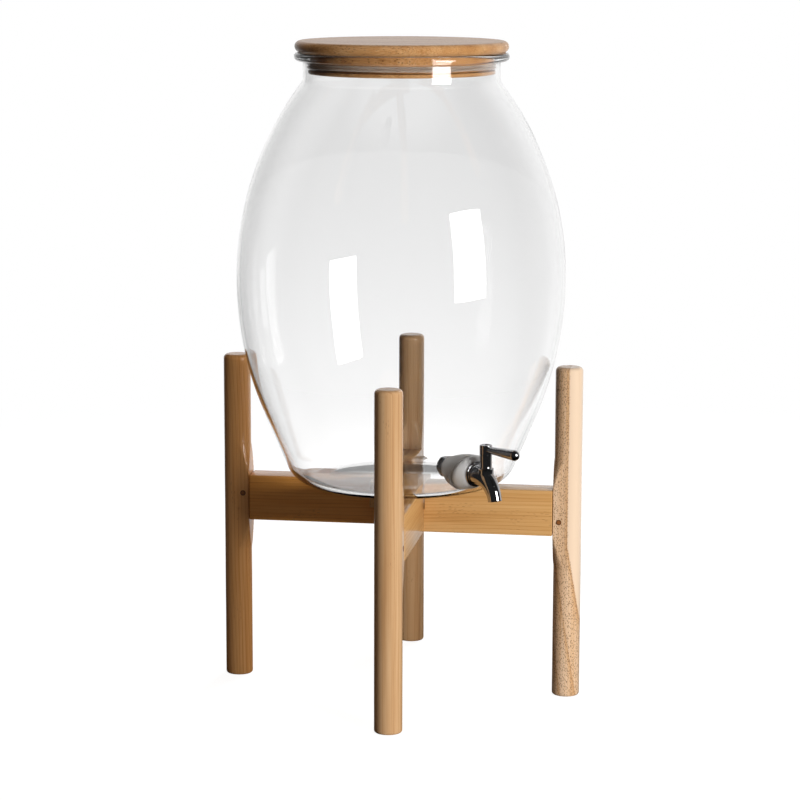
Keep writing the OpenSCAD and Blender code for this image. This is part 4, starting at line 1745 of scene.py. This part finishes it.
    def nut(self) -> Solid:
        """The lock nut: a hexagon with its outer corners turned round, and a chamfered bore.

        Returns:
            The nut in place.
        """
        corner = self.nut_w / 2 / math.cos(math.radians(30))
        flat = self.nut_w / 2
        bevel = corner - flat
        bore = self.shank_d / 2 + self.fit_gap
        angles = [math.radians(30 + 60 * side) for side in range(6)]
        hexagon = [(corner * math.cos(a), corner * math.sin(a)) for a in angles]
        block = Solid.loft([[Vector((x, y, z)) for x, y in hexagon] for z in (0, self.nut_t)])
        over = self.overlap
        wide = corner + 2 * over
        outside = [(flat - bevel, -over), (wide, -over), (wide, bevel), (corner, bevel), (flat, 0)]
        trim = Solid.lathe(outside, self.steps, looped=True)
        edge = self.nut_chamfer
        top = self.nut_t + over
        inside = [(0, -over), (bore + edge + over, -over), (bore, edge), (bore, top), (0, top)]
        drill = Solid.lathe(inside, self.drill_steps)
        whole = block.joined(trim, Join.CUT).joined(drill, Join.CUT)
        return whole.placed(self.axes @ self.lying(self.nut_x))


def flat_sheet(name: str, size: Point, place: Matrix, paint: bpy.types.Material) -> bpy.types.Object:
    """Puts a flat sheet into the scene.

    Args:
        name: the sheet's name.
        size: its width and depth.
        place: its place and turn.
        paint: its material.

    Returns:
        The sheet.
    """
    shape = bmesh.new()
    signs = ((-1, -1), (1, -1), (1, 1), (-1, 1))
    corners = [place @ Vector((x * size[0] / 2, y * size[1] / 2, 0)) for x, y in signs]
    shape.faces.new([shape.verts.new(corner) for corner in corners])
    mesh = bpy.data.meshes.new(name)
    shape.to_mesh(mesh)
    shape.free()
    mesh.materials.append(paint)
    return linked(name, mesh)


@dataclass(frozen=True)
class SoftBox:
    """A soft box: where it hangs, how large it is and how strongly it lights the dispenser."""

    name: str
    azimuth: float
    height: float
    distance: float
    width: float
    tall: float
    level: float
    duty: Duty
    seen_through: int = 9
    swing: float = 0.0

    def hang(self, target: Vector) -> None:
        """Hangs the box and points it.

        Args:
            target: the point that it faces.
        """
        turn = math.radians(self.azimuth)
        place = Vector((math.sin(turn) * self.distance, -math.cos(turn) * self.distance, self.height))
        aim = Matrix.LocRotScale(place, (target - place).to_track_quat("-Z", "Y"), None)
        aim = aim @ Matrix.Rotation(math.radians(self.swing), 4, "Y")
        power = self.level * math.pi**2 * (place - target).length_squared
        if self.duty is Duty.LIGHT:
            self.hang_lamp(aim, power)
        else:
            self.hang_card(aim, power / (math.pi * self.width * self.tall))

    def hang_lamp(self, aim: Matrix, power: float) -> None:
        """Makes a lamp that lights surfaces and stays out of their gloss.

        Args:
            aim: its place and turn.
            power: its power.
        """
        lamp = bpy.data.lights.new(self.name, "AREA")
        lamp.shape = "RECTANGLE"
        lamp.size = self.width
        lamp.size_y = self.tall
        lamp.energy = power
        hung = linked(self.name, lamp)
        hung.matrix_world = aim
        hung.visible_camera = False
        hung.visible_transmission = False
        hung.visible_glossy = False

    def hang_card(self, aim: Matrix, glow: float) -> None:
        """Makes a bright card that shows only in the gloss of glass and steel, and else lets rays pass.

        Args:
            aim: its place and turn.
            glow: its brightness.
        """
        paint, graph = Graph.of_material(self.name)
        path = graph.node("ShaderNodeLightPath")
        seen = (path.part("Glossy Depth") > 0.5) * (path.part("Diffuse Depth") < 0.5)
        seen = seen * (path.part("Transmission Depth") < self.seen_through + 0.5)
        clear = graph.node("ShaderNodeBsdfTransparent")
        light = graph.node("ShaderNodeEmission", {"Strength": glow})
        both = graph.node("ShaderNodeMixShader", {0: seen, 1: clear, 2: light})
        graph.node("ShaderNodeOutputMaterial", {"Surface": both})
        card = flat_sheet(self.name, (self.width, self.tall), aim, paint)
        card.visible_camera = False
        card.visible_diffuse = False
        card.visible_shadow = False
        for member in SHADED.collection_objects:
            member.light_linking.link_state = "EXCLUDE"
        card.light_linking.receiver_collection = SHADED


@dataclass
class Studio:
    """White surroundings, a floor that keeps the shadow, the soft boxes and the camera."""

    lens: float = 121.766
    sensor: float = 36.0
    camera_place: Triple = (0.3588, -2.4064, 0.7013)
    camera_down: float = 79.875
    camera_turn: float = 8.5005
    camera_roll: float = 0.1327
    target: Triple = (0.0, 0.0, 0.33)
    floor_wide: float = 12.0
    floor_glow: float = 0.90
    floor_colour: Colour = (0.34, 0.34, 0.34, 1.0)
    shadow_fade: Point = (0.45, 1.5)
    # Painted reflection: in gloss the floor is dark within mirror_fade of the dispenser, and in the glass's
    # inner reflections it glows bright within under_fade.
    mirror_fade: Point = (0.2, 0.9)
    under_fade: Point = (0.4, 0.15)
    ambient: float = 0.075
    ambient_colour: Colour = (1.0, 0.64, 0.34, 1.0)
    gloss_dark: float = 0.03
    gloss_side: float = 12.0
    gloss_from: float = 0.35
    gloss_full: float = 0.85
    # Painted glow: seen through the glass, the floor glows at through_near by the dispenser and fades over
    # through_fade to through_far. The world seen through glass also stays at through_far.
    through_near: float = 1.235
    through_far: float = 0.88
    through_fade: float = 2.0
    # Each box has its name, azimuth, height, distance, width, tallness, level and duty.
    boxes: tuple[SoftBox, ...] = (
        SoftBox("key_box", 45, 0.24, 2.00, 0.40, 0.30, 1.0, Duty.LIGHT),
        SoftBox("top_box", 20, 1.70, 0.40, 0.90, 0.90, 0.28, Duty.LIGHT),
        SoftBox("back_box", 168, 0.70, 2.00, 0.90, 0.70, 0.70, Duty.LIGHT),
        SoftBox("window_box", 55, 0.54, 1.35, 0.55, 0.72, 0.85, Duty.MIRROR, swing=-11),
        SoftBox("rim_box", -98, 0.12, 1.40, 0.16, 0.40, 0.010, Duty.MIRROR, 0),
    )

    def build(self) -> None:
        """Sets up the view, the light and the floor."""
        scene = bpy.context.scene
        scene.view_settings.view_transform = "Standard"
        self.set_camera(scene)
        self.set_world(scene)
        self.lay_floor()
        for box in self.boxes:
            box.hang(Vector(self.target))

    def set_camera(self, scene: bpy.types.Scene) -> None:
        """Places the camera at the photograph's viewing angle.

        Args:
            scene: the scene that it belongs to.
        """
        optics = bpy.data.cameras.new("studio_camera")
        optics.lens = self.lens
        optics.sensor_width = self.sensor
        camera = linked("studio_camera", optics)
        camera.location = self.camera_place
        turn = Matrix.Rotation(math.radians(self.camera_turn), 3, "Z")
        down = Matrix.Rotation(math.radians(self.camera_down), 3, "X")
        roll = Matrix.Rotation(math.radians(self.camera_roll), 3, "Z")
        camera.rotation_euler = (turn @ down @ roll).to_euler()
        scene.camera = camera

    @staticmethod
    def rays(graph: Graph) -> tuple[Signal, Signal, Signal, Signal]:
        """Sorts the rays that no matt surface has scattered.

        Args:
            graph: the graph that asks.

        Returns:
            Four signals, which are 1 for rays from the camera, straight through glass, off a gloss,
            and off a gloss and through glass.
        """
        path = graph.node("ShaderNodeLightPath")
        direct = path.part("Diffuse Depth") < 0.5
        mirrored = (path.part("Glossy Depth") > 0.5) * direct
        glass = path.part("Is Transmission Ray")
        through = glass * direct - glass * mirrored
        return path.part("Is Camera Ray"), through, mirrored - mirrored * glass, mirrored * glass

    def backdrop(self, x: Signal, y: Signal) -> Signal:
        """How bright the surroundings are in gloss: white behind the dispenser, and else dark.

        Args:
            x: how far the direction goes to the right.
            y: how far it goes to the back.

        Returns:
            The brightness.
        """
        turn = math.radians(self.gloss_side)
        ahead = y * math.cos(turn) + x * math.sin(turn)
        return ahead.eased(self.gloss_from, self.gloss_full) * (1 - self.gloss_dark) + self.gloss_dark

    def set_world(self, scene: bpy.types.Scene) -> None:
        """White to the eye, dim to the surfaces, and for reflections bright only behind the dispenser.

        Args:
            scene: the scene that the world surrounds.
        """
        world = bpy.data.worlds.new("white_studio")
        world.use_nodes = True
        scene.world = world
        graph = Graph(world.node_tree)
        straight, through, mirror, inner = self.rays(graph)
        x, y, _ = graph.split(graph.node("ShaderNodeTexCoord").part("Generated"))
        gloss = mirror + inner
        soft = 1 - straight.most(through).most(gloss)
        strength = straight + through * self.through_far + gloss * self.backdrop(x, y) + soft * self.ambient
        colour = graph.mixed(WHITE, self.ambient_colour, soft)
        shader = graph.node("ShaderNodeBackground", {"Color": colour, "Strength": strength})
        graph.node("ShaderNodeOutputWorld", {"Surface": shader})

    def lay_floor(self) -> None:
        """A white floor that keeps the shadow near the dispenser. Its look in glass and gloss is painted
        light: seen through the glass it glows brighter by the dispenser, in gloss it is painted dark near
        the dispenser and brightens further off, and in the glass's inner reflections it glows bright by the
        jar's foot.
        """
        paint, graph = Graph.of_material("floor_white")
        x, y, _ = graph.split(graph.placed())
        reach = (x * x + y * y).root()
        far = reach.eased(*self.shadow_fade)
        straight, through, mirror, inner = self.rays(graph)
        bright = self.floor_glow + far * (1 - self.floor_glow)
        # Painted glow: seen through the glass, the floor is brighter by the dispenser than far off.
        faded = 1 + reach * reach / self.through_fade**2
        behind = self.through_far + (self.through_near - self.through_far) / faded
        away = reach.most(0.01)
        backdrop = self.backdrop(x / away, y / away)
        # Painted light: in the glass's inner reflections the floor glows bright by the jar's foot, and in
        # gloss it is painted dark near the dispenser.
        under = reach.eased(*self.under_fade)
        mirrored = mirror * backdrop * reach.eased(*self.mirror_fade) + inner * backdrop.most(under)
        glow = straight * bright + through * behind + mirrored
        colour = graph.mixed(self.floor_colour, BLACK, far.most(mirror).most(inner))
        matt = graph.node("ShaderNodeBsdfDiffuse", {"Color": colour})
        light = graph.node("ShaderNodeEmission", {"Color": WHITE, "Strength": glow})
        both = graph.node("ShaderNodeAddShader", {0: matt, 1: light})
        graph.node("ShaderNodeOutputMaterial", {"Surface": both})
        floor = flat_sheet("studio_floor", (self.floor_wide, self.floor_wide), Matrix(), paint)


def post_finishes() -> dict[Side, Beech]:
    """The four posts' own pieces of beech.

    Returns:
        The finish of each side's post.
    """
    light = (tint(215, 179, 137), tint(195, 150, 104), tint(152, 101, 57))
    brown = (tint(216, 164, 108), tint(192, 134, 76), tint(148, 88, 40))
    pinkish = (tint(234, 208, 180), tint(211, 169, 125), tint(160, 108, 62))
    right = Beech(
        "right_post_beech", "beech", Grain.UPRIGHT, *pinkish,
        pith=(2 * MM, -12.5 * MM), ring=13.6 * MM, lean=0.16, wander=4 * MM, plain_from=179 * MM, shift=3.41,
        upright_from=140 * MM, flecks=1.2, fleck_cell=(1.1 * MM, 2.0 * MM), fleck_depth=0.7, fleck_wide=0.46,
    )
    return {
        Side.FRONT: Beech("front_post_beech", "beech", Grain.UPRIGHT, *light, flecks=0.15, shift=0.31),
        Side.REAR: Beech("rear_post_beech", "beech", Grain.UPRIGHT, *light, shift=1.13),
        Side.LEFT: Beech("left_post_beech", "beech", Grain.UPRIGHT, *brown, shift=2.07),
        Side.RIGHT: right,
    }


def arm_finishes() -> dict[Side, Beech]:
    """The four arms' own pieces of beech, of a more orange tone; the left arm's ruddier tones are painted
    warm shade.

    Returns:
        The finish of each side's arm.
    """
    orange = (tint(216, 172, 116), tint(195, 146, 87), tint(154, 100, 50))
    # Painted warm shade: the left arm lies in shade, and this ruddier copy of the arms' beech makes that
    # shade look warm and deep.
    ruddy_painted_shade = (tint(232, 168, 94), tint(215, 144, 66), tint(170, 98, 36))
    choices = (
        (Side.FRONT, Grain.ALONG_Y, orange, 0.53),
        (Side.REAR, Grain.ALONG_Y, orange, 1.71),
        (Side.LEFT, Grain.ALONG_X, ruddy_painted_shade, 2.33),
        (Side.RIGHT, Grain.ALONG_X, orange, 3.87),
    )
    return {
        side: Beech(f"{side.label}_arm_beech", "beech_arm", grain, *tones, shift=shift, wander=14 * MM)
        for side, grain, tones, shift in choices
    }


def main() -> None:
    """Builds the dispenser round the CAD frame, and the studio round the dispenser."""
    logging.basicConfig(level=logging.INFO, format="%(name)s: %(message)s")
    stand = Stand(posts=post_finishes(), arms=arm_finishes())
    stand.build()
    jar = Jar(foot_z=stand.arm_top)
    tap = Tap(jar)
    jar.build(tap.axes)
    tap.build()
    lid = Lid(foot_z=jar.foot_z + jar.height, neck_in=jar.neck_in)
    lid.build()
    Studio().build()


if __name__ == "__main__":
    main()
